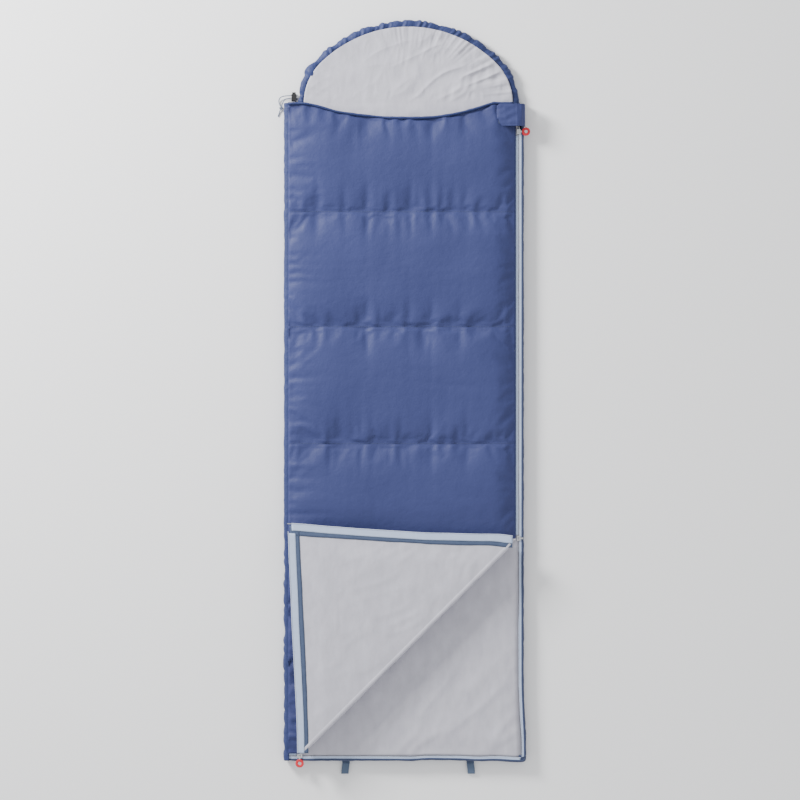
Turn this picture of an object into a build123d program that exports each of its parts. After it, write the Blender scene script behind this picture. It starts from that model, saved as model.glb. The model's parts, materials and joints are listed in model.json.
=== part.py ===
from build123d import *
import math
import os

# Rectangular sleeping bag, lying flat on its back.
# +X is the wearer's left hand side (the zip side), +Y points to the head, +Z is up.
# The origin is on the floor under the middle of the bag. All sizes are millimetres.

# Overall sizes
BAG_WIDTH = 714.0
BODY_LENGTH = 1960.0
FOOT_TO_ORIGIN = 1100.0
HOOD_HALF_WIDTH = 331.0
HOOD_HEIGHT = 248.0
HOOD_CENTRE_X = 13.0
HOOD_SHOULDER_RADIUS = 190.0

# Quilt layers
CLOTH = 0.8
QUILT_THICKNESS = 26.0
CAVITY_GAP = 6.0
PANEL_PITCH = 345.0
FIRST_SEAM_FROM_NECK = 322.0
SEAM_DIP = 9.0
LAYER_GAP = 0.2
THREAD = 0.8
STITCH_LENGTH = 3.0
STITCH_PITCH = 23.0

# Zips: two coil halves side by side, each woven to its tape
ZIP_INSET = 15.0
ZIP_OVER_LINING = 3.2
TAPE = 0.8
COIL_WIDTH = 2.6
COIL_HEIGHT = 2.6
COIL_SPLIT = 1.6
COVER_TAPE_WIDTH = 18.6
BASE_TAPE_WIDTH = 7.0
SHELL_TO_ZIP = 8.0
FACING_WIDTH = 26.0
FACING_THICKNESS = 2.0
BINDING_WIDTH = 9.5
BINDING_OVER_LINING = 5.0

# Sliders
SLIDER_LENGTH = 15.0
SLIDER_WIDTH = 10.4
SLIDER_PLATE = 1.2
SLIDER_CLEARANCE = 0.35
SLIDER_FLANGE = 1.0
BAIL_LENGTH = 8.0
BAIL_BAR = 1.2
BAIL_WIDTH = 2.2
PULL_THICKNESS = 1.6
PULL_CLEARANCE = 0.4
RING_OUTER = 12.5
RING_HALF_THICKNESS = 2.2
RING_BAND = 7.4
RING_CHAMFER = 1.3
SLIDER_FROM_NECK = 84.0
SLIDER_PLAY = 2.0
SLIDER_FROM_FOLD = 2.0
PIVOT_RADIUS = 0.9
PIVOT_CLEARANCE = 0.08
BARREL_RADIUS = 2.0
RINGED_PULL_LENGTH = 9.0
PLAIN_PULL_LENGTH = 13.0
STOP_LENGTH = 6.0
PIN_LENGTH = 12.0

# Corner of the cover that is turned back over the cover
FOLD_OFFSET = 768.0
FOLD_TRIM = 0.5
FOLD_LIFT = 0.5

# Hinge side and neck
HINGE_INSET = 5.0
COVER_HINGE_GAP = 6.0
GUSSET_WIDTH = 7.0
GUSSET_OVER_LINING = 3.0
NECK_CLEARANCE = 12.0
NECK_SCOOP = 33.0
HOOD_GAP = 0.6

# Hood rim, drawcord and cord lock
RIM_RADIUS = 12.0
CORD_DIAMETER = 3.0
CORD_CLEARANCE = 0.4
CORD_FROM_NECK = 26.0
EYELET_LENGTH = 3.0
EYELET_WALL = 1.4
LOCK_LENGTH = 15.0
LOCK_WIDTH = 19.0
LOCK_HEIGHT = 12.0
STRAND_SPACING = 7.0
PLUNGER_WIDTH = 11.0
PLUNGER_HEIGHT = 7.0
PLUNGER_TRAVEL = 4.5
SPRING_RADIUS = 2.0
SPRING_WIRE = 0.6
KNOT_RADIUS = 4.5

# Closure tab, hang loops and tacks
TAB_WIDTH = 83.0
TAB_LENGTH = 66.0
TAB_THICKNESS = 2.4
TAB_OVER_COVER = 2.0
HOOK_THICKNESS = 1.2
PATCH_LENGTH = 44.0
PATCH_WIDTH = 24.0
LOOP_WIDTH = 22.0
LOOP_LENGTH = 42.0
LOOP_CENTRES = (-173.0, 198.0)
WEBBING = 1.6
LOOP_OPENING = 7.0

# Places worked out from the sizes above
HALF = BAG_WIDTH / 2
FOOT_Y = -FOOT_TO_ORIGIN
NECK_Y = FOOT_Y + BODY_LENGTH
COVER_Z = QUILT_THICKNESS + CAVITY_GAP
COVER_TOP = COVER_Z + QUILT_THICKNESS
ZIP_LIFT = QUILT_THICKNESS + ZIP_OVER_LINING
BINDING_TOP = QUILT_THICKNESS + BINDING_OVER_LINING
GUSSET_TOP = QUILT_THICKNESS + GUSSET_OVER_LINING
TAB_LIFT = COVER_TOP + TAB_OVER_COVER
ZIP_X = HALF - ZIP_INSET
ZIP_Y = FOOT_Y + ZIP_INSET
COVER_RIGHT = ZIP_X - SHELL_TO_ZIP
COVER_FOOT = ZIP_Y + SHELL_TO_ZIP
HINGE_X = -HALF + HINGE_INSET
COVER_LEFT = HINGE_X + COVER_HINGE_GAP
COVER_NECK = NECK_Y - NECK_CLEARANCE
FOLD_Z = COVER_TOP + FOLD_LIFT
FOLD_AXIS = Axis((0, -FOLD_OFFSET, FOLD_Z), (1, 1, 0))
FIRST_SEAM_Y = NECK_Y - FIRST_SEAM_FROM_NECK
SEAM_COUNT = int((FIRST_SEAM_Y - COVER_FOOT) / PANEL_PITCH) + 1
SEAM_YS = [FIRST_SEAM_Y - i * PANEL_PITCH for i in range(SEAM_COUNT)]
UPPER_SLIDER_Y = NECK_Y - SLIDER_FROM_NECK
LOWER_SLIDER_Y = COVER_RIGHT - FOLD_OFFSET - SLIDER_FROM_FOLD
FOOT_SLIDER_X = COVER_FOOT + FOLD_OFFSET - SLIDER_FROM_FOLD
SLIDER_ROOM = SLIDER_LENGTH / 2 + SLIDER_PLAY
COIL_OUT = COIL_SPLIT / 2 + COIL_WIDTH
ZIP_TOP_Y = UPPER_SLIDER_Y + SLIDER_ROOM
PLATE_TOP = COIL_HEIGHT / 2 + SLIDER_CLEARANCE + SLIDER_PLATE
PIVOT_LIFT = PLATE_TOP + BARREL_RADIUS + PULL_CLEARANCE
BARREL_LENGTH = BAIL_LENGTH - 2 * BAIL_BAR - 2 * PULL_CLEARANCE
RIM_Z = RIM_RADIUS + CLOTH
EYELET_X = HOOD_CENTRE_X - HOOD_HALF_WIDTH + 0.4
STRAND_YS = (NECK_Y + CORD_FROM_NECK, NECK_Y + CORD_FROM_NECK - STRAND_SPACING)
LOCK_X = EYELET_X - EYELET_LENGTH - 0.6 - LOCK_LENGTH / 2
LOCK_Y = STRAND_YS[1]
KNOT = (-368.0, NECK_Y - 12.0, KNOT_RADIUS + 0.1)


def block(x0, x1, y0, y1, z0, z1):
    """A box between two corners."""
    centre = ((x0 + x1) / 2, (y0 + y1) / 2, (z0 + z1) / 2)
    return Pos(*centre) * Box(x1 - x0, y1 - y0, z1 - z0)


def plate(outline, z0, z1):
    """A flat sheet with the given outline between two heights."""
    return extrude(Plane.XY.offset(z0) * make_face(outline), z1 - z0)


def save(name, shape):
    """Write one node."""
    export_step(shape, "parts/" + name + ".step")


def chamber_outline(lift):
    """The quilted upper side from neck to foot: one shallow arc for each chamber, at a lift."""
    seam_z = COVER_TOP - SEAM_DIP + lift
    crest_z = COVER_TOP + lift
    edges = [COVER_NECK] + SEAM_YS + [COVER_FOOT]
    arcs = []
    for start, end in zip(edges, edges[1:]):
        arcs.append(ThreePointArc((start, seam_z), ((start + end) / 2, crest_z), (end, seam_z)))
    return arcs, seam_z


def quilt_slab(lift, floor_z):
    """A slab across the cover whose upper side follows the chambers and whose underside is flat."""
    arcs, seam_z = chamber_outline(lift)
    corners = [(COVER_FOOT, seam_z), (COVER_FOOT, floor_z), (COVER_NECK, floor_z), (COVER_NECK, seam_z)]
    rim = Polyline(*corners)
    profile = Plane.YZ.offset(COVER_LEFT) * make_face(arcs + rim.edges())
    return extrude(profile, COVER_RIGHT - COVER_LEFT)


def quilt_skin():
    """The shell cloth over the chambers, one cloth thick, with the same arcs on both sides."""
    upper, top_z = chamber_outline(0)
    lower, low_z = chamber_outline(-CLOTH)
    ends = [Line((COVER_NECK, top_z), (COVER_NECK, low_z)), Line((COVER_FOOT, top_z), (COVER_FOOT, low_z))]
    profile = Plane.YZ.offset(COVER_LEFT) * make_face(upper + lower + ends)
    return extrude(profile, COVER_RIGHT - COVER_LEFT)


def neck_scoop():
    """The hollow cut out of the cover's neck edge, as deep as the sleeper's chin needs."""
    left = (COVER_LEFT - 1, COVER_NECK)
    middle = ((COVER_LEFT + COVER_RIGHT) / 2, COVER_NECK - NECK_SCOOP)
    right = (COVER_RIGHT + 1, COVER_NECK)
    edge = ThreePointArc(left, middle, right)
    rim = Polyline(right, (right[0], NECK_Y), (left[0], NECK_Y), left)
    return plate([edge] + rim.edges(), 0, COVER_TOP + 20)


def side_of_fold(sign, trim=FOLD_TRIM):
    """A tall prism on one side of the fold line: +1 is the cover's side, -1 the loose corner's."""
    shift = -FOLD_OFFSET + sign * trim * math.sqrt(2)
    reach = BAG_WIDTH + BODY_LENGTH
    low = (-reach, -reach + shift)
    high = (reach, reach + shift)
    far = (-sign * reach, sign * reach)
    beyond_high = (high[0] + far[0], high[1] + far[1])
    beyond_low = (low[0] + far[0], low[1] + far[1])
    outline = Polyline(low, high, beyond_high, beyond_low, low)
    return plate(outline.edges(), -20, COVER_TOP + 20)


def cover_piece(whole):
    """What stays with the cover of a layer that runs over the whole cover."""
    return whole & side_of_fold(1)


def corner_piece(whole):
    """What turns back with the loose corner of the same layer, laid over the cover."""
    return (whole & side_of_fold(-1)).rotate(FOLD_AXIS, 180)


def running_stitch(seam_y, x0, x1, z):
    """One quilting seam: short stitches in a row along X."""
    count = int((x1 - x0) / STITCH_PITCH)
    first = (x0 + x1) / 2 - (count - 1) * STITCH_PITCH / 2
    stitch = Box(STITCH_LENGTH, THREAD, THREAD)
    return [Pos(first + i * STITCH_PITCH, seam_y, z) * stitch for i in range(count)]


def make_base():
    """The underside quilt: shell, fill, lining, the binding round its zip edges and the left gusset."""
    inner_right = ZIP_X + COIL_SPLIT / 2 + COIL_WIDTH + BASE_TAPE_WIDTH
    fill_right = COVER_RIGHT
    fill_foot = COVER_FOOT
    lining_z = QUILT_THICKNESS - CLOTH
    save("base_shell", block(-HALF, HALF, FOOT_Y, NECK_Y, 0, CLOTH))
    save("base_fill", block(-HALF + GUSSET_WIDTH, fill_right, fill_foot, NECK_Y, CLOTH, lining_z))
    save("base_lining", block(-HALF + GUSSET_WIDTH, fill_right, fill_foot, NECK_Y, lining_z, QUILT_THICKNESS))
    tape_low = ZIP_LIFT - TAPE / 2
    tape_high = ZIP_LIFT + TAPE / 2
    bind_x = HALF - BINDING_WIDTH
    bind_y = FOOT_Y + BINDING_WIDTH
    side = block(bind_x, HALF, bind_y, NECK_Y, CLOTH, BINDING_TOP)
    foot = block(-HALF, HALF, FOOT_Y, bind_y, CLOTH, BINDING_TOP)
    side_slot = block(bind_x - 1, inner_right, bind_y - 1, NECK_Y + 1, tape_low, tape_high)
    foot_slot = block(
        -HALF + GUSSET_WIDTH, inner_right, FOOT_Y + HALF - inner_right, bind_y + 1, tape_low, tape_high
    )
    save("base_side_binding", side - side_slot)
    save("base_foot_binding", foot - foot_slot)
    ledge = Polyline(
        (-HALF + GUSSET_WIDTH, bind_y), (bind_x, bind_y), (bind_x, NECK_Y), (fill_right, NECK_Y),
        (fill_right, fill_foot), (-HALF + GUSSET_WIDTH, fill_foot), (-HALF + GUSSET_WIDTH, bind_y)
    )
    save("base_facing", plate(ledge.edges(), CLOTH, QUILT_THICKNESS - CLOTH))
    save("left_side_gusset", block(-HALF, -HALF + GUSSET_WIDTH, bind_y, NECK_Y, CLOTH, GUSSET_TOP))


def make_cover_layers():
    """The upper quilt's layers, each cut along the fold into the cover's part and the corner's part."""
    scoop = neck_scoop()
    shell = quilt_skin() - scoop
    fill = quilt_slab(-CLOTH - LAYER_GAP, COVER_Z + CLOTH) - scoop
    lining = block(COVER_LEFT, COVER_RIGHT, COVER_FOOT, COVER_NECK, COVER_Z, COVER_Z + CLOTH) - scoop
    for name, layer in (("shell", shell), ("fill", fill), ("lining", lining)):
        save("cover_" + name, cover_piece(layer))
        save("corner_" + name, corner_piece(layer))
    facing_x = COVER_RIGHT - FACING_WIDTH
    facing_y = COVER_FOOT + FACING_WIDTH
    outline = Polyline(
        (COVER_LEFT, COVER_FOOT), (COVER_RIGHT, COVER_FOOT), (COVER_RIGHT, COVER_NECK),
        (facing_x, COVER_NECK), (facing_x, facing_y), (COVER_LEFT, facing_y), (COVER_LEFT, COVER_FOOT)
    )
    facing = plate(outline.edges(), ZIP_LIFT + TAPE / 2, COVER_Z) - scoop
    save("cover_facing", cover_piece(facing))
    clear_of_slider = block(COVER_LEFT, HALF, COVER_FOOT, LOWER_SLIDER_Y - SLIDER_ROOM, 0, COVER_TOP)
    save("corner_facing", corner_piece(facing & clear_of_slider))
    piping_z = COVER_TOP - SEAM_DIP
    left = (COVER_LEFT, COVER_NECK)
    middle = ((COVER_LEFT + COVER_RIGHT) / 2, COVER_NECK - NECK_SCOOP)
    right = (COVER_RIGHT, COVER_NECK)
    piping_arc = ThreePointArc(left, middle, right)
    back_arc = piping_arc.moved(Pos(0, 2.4, 0))
    ends = [Line(piping_arc @ 0, back_arc @ 0), Line(piping_arc @ 1, back_arc @ 1)]
    save("neck_piping", plate([piping_arc, back_arc] + ends, COVER_Z, piping_z))


def make_quilting():
    """Thread of the quilting seams, lying in the dips of the cover's shell and the loose corner's."""
    thread_z = COVER_TOP - SEAM_DIP + THREAD
    stitches = []
    for seam_y in SEAM_YS:
        fold_x = seam_y + FOLD_OFFSET
        last_x = min(COVER_RIGHT, fold_x) - STITCH_PITCH
        if last_x - COVER_LEFT > STITCH_PITCH:
            stitches += running_stitch(seam_y, COVER_LEFT + STITCH_PITCH, last_x, thread_z)
    save("cover_quilting_thread", Compound(children=stitches))


def strip(edge, from_split, width, start, end, height):
    """A strip beside a zip's centre line: edge is 'side' or 'foot', from_split is signed outwards."""
    low, high = sorted((from_split, from_split + width))
    z0, z1 = ZIP_LIFT - height / 2, ZIP_LIFT + height / 2
    if edge == "side":
        return block(ZIP_X + low, ZIP_X + high, start, end, z0, z1)
    return block(start, end, ZIP_Y - high, ZIP_Y - low, z0, z1)


def make_zips():
    """Both zips: the base's halves, the cover's halves and the loose corner's halves."""
    split = COIL_SPLIT / 2
    pin_y = ZIP_Y + 2 * split
    foot_end = ZIP_X - COIL_OUT - COVER_TAPE_WIDTH - SLIDER_PLAY
    runs = [
        ("base", "side", 1, ZIP_Y + split, ZIP_TOP_Y),
        ("base", "foot", 1, -HALF + GUSSET_WIDTH, ZIP_X - split),
        ("cover", "side", -1, LOWER_SLIDER_Y + SLIDER_ROOM, UPPER_SLIDER_Y - SLIDER_ROOM),
        ("cover", "foot", -1, COVER_LEFT, FOOT_SLIDER_X - SLIDER_ROOM),
        ("corner", "side", -1, pin_y + PIN_LENGTH, LOWER_SLIDER_Y - SLIDER_ROOM),
        ("corner", "foot", -1, FOOT_SLIDER_X + SLIDER_ROOM, foot_end),
    ]
    for body, edge, sign, start, end in runs:
        width = BASE_TAPE_WIDTH if sign > 0 else COVER_TAPE_WIDTH
        coil = strip(edge, sign * split, sign * COIL_WIDTH, start, end, COIL_HEIGHT)
        tape = strip(edge, sign * COIL_OUT, sign * width, start, end, TAPE)
        if body == "corner":
            coil, tape = corner_piece(coil), corner_piece(tape)
        if body == "cover":
            coil, tape = cover_piece(coil), cover_piece(tape)
        save(body + "_" + edge + "_zip_coil", coil)
        save(body + "_" + edge + "_zip_tape", tape)
    stop = strip("side", split, COIL_WIDTH, ZIP_TOP_Y, ZIP_TOP_Y + STOP_LENGTH, COIL_HEIGHT)
    save("base_zip_top_stop", stop)
    pin = strip("side", -split, -COIL_WIDTH, pin_y, pin_y + PIN_LENGTH, COIL_HEIGHT)
    save("corner_zip_pin", corner_piece(pin))


def slider_body():
    """A slider at its own origin: it runs along Y and its bail stands over the top plate."""
    inner_low = -COIL_HEIGHT / 2 - SLIDER_CLEARANCE
    inner_high = -inner_low
    wide, long = SLIDER_WIDTH / 2, SLIDER_LENGTH / 2
    slot = TAPE / 2 + SLIDER_CLEARANCE
    top = inner_high + SLIDER_PLATE
    pieces = [
        block(-wide, wide, -long, long, inner_low - SLIDER_PLATE, inner_low),
        block(-wide, wide, -long, long, inner_high, top),
        block(-0.45, 0.45, long - 3.0, long, inner_low, inner_high),
    ]
    for side in (-1, 1):
        x0, x1 = sorted((side * wide, side * (wide - SLIDER_FLANGE)))
        pieces.append(block(x0, x1, -long, long, inner_low, -slot))
        pieces.append(block(x0, x1, -long, long, slot, inner_high))
        y0, y1 = sorted((side * BAIL_LENGTH / 2, side * (BAIL_LENGTH / 2 - BAIL_BAR)))
        pieces.append(block(-BAIL_WIDTH / 2, BAIL_WIDTH / 2, y0, y1, top, PIVOT_LIFT + BAIL_WIDTH / 2))
    pieces.append(Pos(0, 0, PIVOT_LIFT) * Rot(90, 0, 0) * Cylinder(PIVOT_RADIUS, BAIL_LENGTH))
    body = pieces[0]
    for piece in pieces[1:]:
        body = body + piece
    return body


def slider_pull(length):
    """The metal pull: a barrel round the bail's bar and a flat tab that lies out along X."""
    barrel = Pos(0, 0, PIVOT_LIFT) * Rot(90, 0, 0) * Cylinder(BARREL_RADIUS, BARREL_LENGTH)
    bore = Pos(0, 0, PIVOT_LIFT) * Rot(90, 0, 0) * Cylinder(PIVOT_RADIUS + PIVOT_CLEARANCE, BAIL_LENGTH)
    half = PULL_THICKNESS / 2
    tab = block(1.2, length, -BARREL_LENGTH / 2, BARREL_LENGTH / 2, PIVOT_LIFT - half, PIVOT_LIFT + half)
    return barrel + tab - bore


def pull_ring(length):
    """The soft ring on the end of a pull, with the lug that is moulded against the metal tab."""
    tube = RING_HALF_THICKNESS
    lug = block(length, length + 2 * tube, -tube, tube, PIVOT_LIFT - 1.5, PIVOT_LIFT + 1.5)
    band = Cylinder(RING_OUTER, 2 * tube) - Cylinder(RING_OUTER - RING_BAND, 3 * tube)
    band = chamfer(band.edges().filter_by(GeomType.CIRCLE), RING_CHAMFER)
    return lug + Pos(length + RING_OUTER, 0, PIVOT_LIFT) * band


def make_sliders():
    """Two sliders on the side zip and one on the foot zip, with their pulls and rings."""
    places = [
        ("upper_slider", Pos(ZIP_X, UPPER_SLIDER_Y, ZIP_LIFT), True),
        ("lower_slider", Pos(ZIP_X, LOWER_SLIDER_Y, ZIP_LIFT), False),
        ("foot_slider", Pos(FOOT_SLIDER_X, ZIP_Y, ZIP_LIFT) * Rot(0, 0, -90), True),
    ]
    for name, place, has_ring in places:
        save(name + "_body", place * slider_body())
        save(name + "_pull", place * slider_pull(RINGED_PULL_LENGTH if has_ring else PLAIN_PULL_LENGTH))
        if has_ring:
            save(name + "_ring", place * pull_ring(RINGED_PULL_LENGTH))


def rim_line(inset, z):
    """The hood's outline as three tangent arcs, from the left end over the crown to the right end."""
    half = HOOD_HALF_WIDTH - inset
    height = HOOD_HEIGHT - inset
    shoulder = HOOD_SHOULDER_RADIUS - inset
    crown = (half * half + height * height - 2 * half * shoulder) / (2 * (height - shoulder))
    rise = math.degrees(math.atan2(crown - height, half - shoulder))

    def arc(cx, cy, radius, start, end):
        places = []
        for angle in (start, (start + end) / 2, end):
            turn = math.radians(angle)
            x, y = cx + radius * math.cos(turn), cy + radius * math.sin(turn)
            places.append((HOOD_CENTRE_X + x, NECK_Y + HOOD_GAP + y, z))
        return ThreePointArc(*places)

    left = arc(shoulder - half, 0, shoulder, 180, 180 - rise)
    top = arc(0, height - crown, crown, 180 - rise, rise)
    right = arc(half - shoulder, 0, shoulder, rise, 0)
    return [left, top, right]


def hood_sheet(z0, z1):
    """A flat layer that fills the hood inside its rim."""
    arcs = rim_line(2 * RIM_RADIUS + LAYER_GAP, z0)
    base_line = Line(arcs[-1] @ 1, arcs[0] @ 0)
    return extrude(make_face(arcs + [base_line]), z1 - z0, dir=(0, 0, 1))


def swept(arcs, radius):
    """A round tube of a given radius along a line of arcs."""
    path = Wire(arcs)
    start = Plane(origin=path @ 0, z_dir=path % 0)
    return sweep(start * Circle(radius), path=path)


def make_hood():
    """The hood: shell, fill, lining and the hollow rim channel with the drawcord in it."""
    save("hood_shell", hood_sheet(0, CLOTH))
    save("hood_fill", hood_sheet(CLOTH, QUILT_THICKNESS - CLOTH))
    save("hood_lining", hood_sheet(QUILT_THICKNESS - CLOTH, QUILT_THICKNESS))
    arcs = rim_line(RIM_RADIUS, RIM_Z)
    save("hood_rim_channel", swept(arcs, RIM_RADIUS) - swept(arcs, RIM_RADIUS - CLOTH))
    save("hood_drawcord", swept(arcs, CORD_DIAMETER / 2))


def cord_route(points):
    """A limp cord's centre line: straight runs joined by the largest arcs that the runs allow."""
    corners = [Vector(*point) for point in points]
    runs = [b - a for a, b in zip(corners, corners[1:])]
    radii = []
    for before, after in zip(runs, runs[1:]):
        half_turn = math.radians(before.get_angle(after)) / 2
        radii.append(0.45 * min(before.length, after.length) / math.tan(half_turn))
    print("cord arcs", [round(radius, 1) for radius in radii])
    return FilletPolyline(*points, radius=radii)


def cord(name, points):
    """One free cord strand as a plain tube; its volume is printed beside section times length."""
    path = cord_route(points).wire()
    start = Plane(origin=path @ 0, z_dir=path % 0)
    tube = sweep(start * Circle(CORD_DIAMETER / 2), path=path)
    section = math.pi * CORD_DIAMETER * CORD_DIAMETER / 4
    ratio = tube.volume / section / path.length
    print(name, "length", round(path.length, 1), "volume ratio", round(ratio, 4))
    save(name, tube)


def make_drawcord_end():
    """The drawcord outside the hood: eyelets, two strands, the knot and the tail."""
    start_x = EYELET_X
    upper_y, lower_y = STRAND_YS
    knot_x, knot_y, knot_z = KNOT
    upper = [
        (start_x, upper_y, RIM_Z),
        (start_x - 40, upper_y, RIM_Z),
        (start_x - 56, upper_y - 7, 6.0),
        (start_x - 57, upper_y - 23, 2.6),
        (knot_x, knot_y + KNOT_RADIUS, knot_z),
    ]
    lower = [
        (start_x, lower_y, RIM_Z),
        (start_x - 36, lower_y, RIM_Z),
        (start_x - 45, lower_y - 13, 7.0),
        (knot_x + 1.5, knot_y + KNOT_RADIUS - 0.6, knot_z + 2),
    ]
    tail = [
        (knot_x - 2, knot_y - KNOT_RADIUS + 1, knot_z - 0.5),
        (knot_x - 5, knot_y - 13, 2.2),
        (knot_x - 9, knot_y - 24, 1.8),
    ]
    ball = Pos(*KNOT) * Sphere(KNOT_RADIUS)
    cord("cord_strand_upper", upper)
    cord("cord_strand_lower", lower)
    cord("cord_tail", tail)
    save("cord_knot", ball)
    hole = CORD_DIAMETER / 2 + CORD_CLEARANCE
    rings = []
    for y in STRAND_YS:
        ring = Cylinder(hole + EYELET_WALL, EYELET_LENGTH) - Cylinder(hole, EYELET_LENGTH + 1)
        rings.append(Pos(EYELET_X - EYELET_LENGTH / 2 - 0.2, y, RIM_Z) * Rot(0, 90, 0) * ring)
    save("cord_eyelets", Compound(children=rings))


def make_cord_lock():
    """The two-hole cord lock: body, sprung plunger and coil spring. The plunger is pressed along -Y."""
    hole = CORD_DIAMETER / 2 + CORD_CLEARANCE
    wall = 1.5
    back = -PLUNGER_TRAVEL - hole - 3.5
    front = STRAND_SPACING + hole + 2.0
    place = Pos(LOCK_X, LOCK_Y, RIM_Z)
    outer = block(-LOCK_LENGTH / 2, LOCK_LENGTH / 2, back - wall, front, -LOCK_HEIGHT / 2, LOCK_HEIGHT / 2)
    outer = fillet(outer.edges().filter_by(Axis.X), 3.0)
    half_x, half_z = PLUNGER_WIDTH / 2, PLUNGER_HEIGHT / 2
    bore = block(-half_x, half_x, back, front + 1, -half_z, half_z)
    bores = [Pos(0, y, 0) * Rot(0, 90, 0) * Cylinder(hole, LOCK_LENGTH + 2) for y in (0, STRAND_SPACING)]
    save("cord_lock_body", place * (outer - bore - bores[0] - bores[1]))
    play = 0.2
    reach = PLUNGER_TRAVEL + 1.0
    plunger_back = -hole - 1.2
    plunger = block(-half_x + play, half_x - play, plunger_back, front + reach, -half_z + play, half_z - play)
    tunnel = hole + play
    for y in (0, STRAND_SPACING):
        plunger -= block(-half_x, half_x, y - hole, y + hole + PLUNGER_TRAVEL, -tunnel, tunnel)
    save("cord_lock_plunger", place * plunger)
    turn = Torus(SPRING_RADIUS, SPRING_WIRE / 2)
    room = plunger_back - back - SPRING_WIRE - 0.1
    count = 4
    first = back + SPRING_WIRE / 2 + 0.05
    rings = [Pos(0, first + i * room / (count - 1), 0) * Rot(90, 0, 0) * turn for i in range(count)]
    save("cord_lock_spring", place * Compound(children=rings))


def make_closure_tab():
    """The tab that folds over the top of the side zip, its hook patch and the loop patch under it."""
    near_y = UPPER_SLIDER_Y + RING_OUTER + SLIDER_PLAY
    far_y = near_y + TAB_LENGTH
    outer_x = HALF + 0.3 + TAB_THICKNESS
    wall = block(HALF + 0.3, outer_x, near_y, far_y, BINDING_TOP, TAB_LIFT)
    flap = block(outer_x - TAB_WIDTH, outer_x, near_y, far_y, TAB_LIFT, TAB_LIFT + TAB_THICKNESS)
    save("closure_tab", wall + flap)
    patch_x = outer_x - TAB_WIDTH + 4
    patch_y = near_y + 8
    sizes = (patch_x, patch_x + PATCH_WIDTH, patch_y, patch_y + PATCH_LENGTH)
    save("tab_hook_patch", block(*sizes, TAB_LIFT - HOOK_THICKNESS, TAB_LIFT))
    loop_top = TAB_LIFT - HOOK_THICKNESS - LAYER_GAP
    save("cover_loop_patch", block(*sizes, loop_top - HOOK_THICKNESS, loop_top))


def make_hang_loops():
    """Two folded webbing loops on the foot edge, and their bar tacks."""
    low = 1.0
    high = low + LOOP_OPENING + 2 * WEBBING
    radius = (high - low) / 2
    for side, centre in zip(("left", "right"), LOOP_CENTRES):
        x0, x1 = centre - LOOP_WIDTH / 2, centre + LOOP_WIDTH / 2
        bend_y = FOOT_Y - LOOP_LENGTH + radius
        outer = block(x0, x1, bend_y, FOOT_Y, low, high)
        inner = block(x0 - 1, x1 + 1, bend_y, FOOT_Y + 1, low + WEBBING, high - WEBBING)
        end = Pos(centre, bend_y, (low + high) / 2) * Rot(0, 90, 0)
        bend = end * Cylinder(radius, LOOP_WIDTH)
        hollow = end * Cylinder(radius - WEBBING, LOOP_WIDTH + 2)
        save("hang_loop_" + side, outer + bend - inner - hollow)
        tacks = []
        for step in (4.0, 9.0):
            tack_y = FOOT_Y - step
            tacks.append(block(centre - 9, centre + 9, tack_y - 0.8, tack_y + 0.8, high, high + 0.7))
        save("bar_tacks_" + side, Compound(children=tacks))


os.makedirs("parts", exist_ok=True)
make_base()
make_cover_layers()
make_quilting()
make_zips()
make_sliders()
make_hood()
make_drawcord_end()
make_cord_lock()
make_closure_tab()
make_hang_loops()
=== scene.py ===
"""The looks of a rectangular sleeping bag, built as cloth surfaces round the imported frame.

Every length is in metres in the frame of the CAD model: +X to the zip side, +Y to the hood, +Z up.
"""
import json
import logging
import math
from dataclasses import dataclass
from enum import Enum
from typing import Sequence

import bpy
import numpy as np
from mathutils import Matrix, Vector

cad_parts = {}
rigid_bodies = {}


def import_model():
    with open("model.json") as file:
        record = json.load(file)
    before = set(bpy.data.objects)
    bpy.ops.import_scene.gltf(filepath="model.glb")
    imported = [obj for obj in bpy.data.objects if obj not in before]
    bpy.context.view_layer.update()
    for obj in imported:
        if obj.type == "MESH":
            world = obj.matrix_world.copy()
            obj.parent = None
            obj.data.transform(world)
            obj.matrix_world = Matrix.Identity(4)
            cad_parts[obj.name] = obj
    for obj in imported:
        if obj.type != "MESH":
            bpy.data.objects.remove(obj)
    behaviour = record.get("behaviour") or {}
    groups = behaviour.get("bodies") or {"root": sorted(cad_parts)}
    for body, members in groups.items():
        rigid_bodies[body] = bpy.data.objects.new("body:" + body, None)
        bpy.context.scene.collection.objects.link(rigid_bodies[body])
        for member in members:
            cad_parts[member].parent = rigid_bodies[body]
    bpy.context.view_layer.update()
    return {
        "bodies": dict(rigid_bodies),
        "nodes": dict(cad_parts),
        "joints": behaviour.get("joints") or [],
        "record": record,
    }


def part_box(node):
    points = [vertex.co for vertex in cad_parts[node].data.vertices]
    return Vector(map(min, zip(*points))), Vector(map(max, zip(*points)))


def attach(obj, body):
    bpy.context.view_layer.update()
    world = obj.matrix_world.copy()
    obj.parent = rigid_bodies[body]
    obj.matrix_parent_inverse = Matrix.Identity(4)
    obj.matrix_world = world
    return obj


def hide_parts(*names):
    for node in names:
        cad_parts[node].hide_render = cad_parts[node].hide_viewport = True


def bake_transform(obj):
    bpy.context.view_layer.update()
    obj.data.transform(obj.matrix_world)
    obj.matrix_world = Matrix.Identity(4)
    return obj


LOG = logging.getLogger("sleeping_bag")
Array = np.ndarray
UP = np.array([0.0, 0.0, 1.0])


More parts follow.
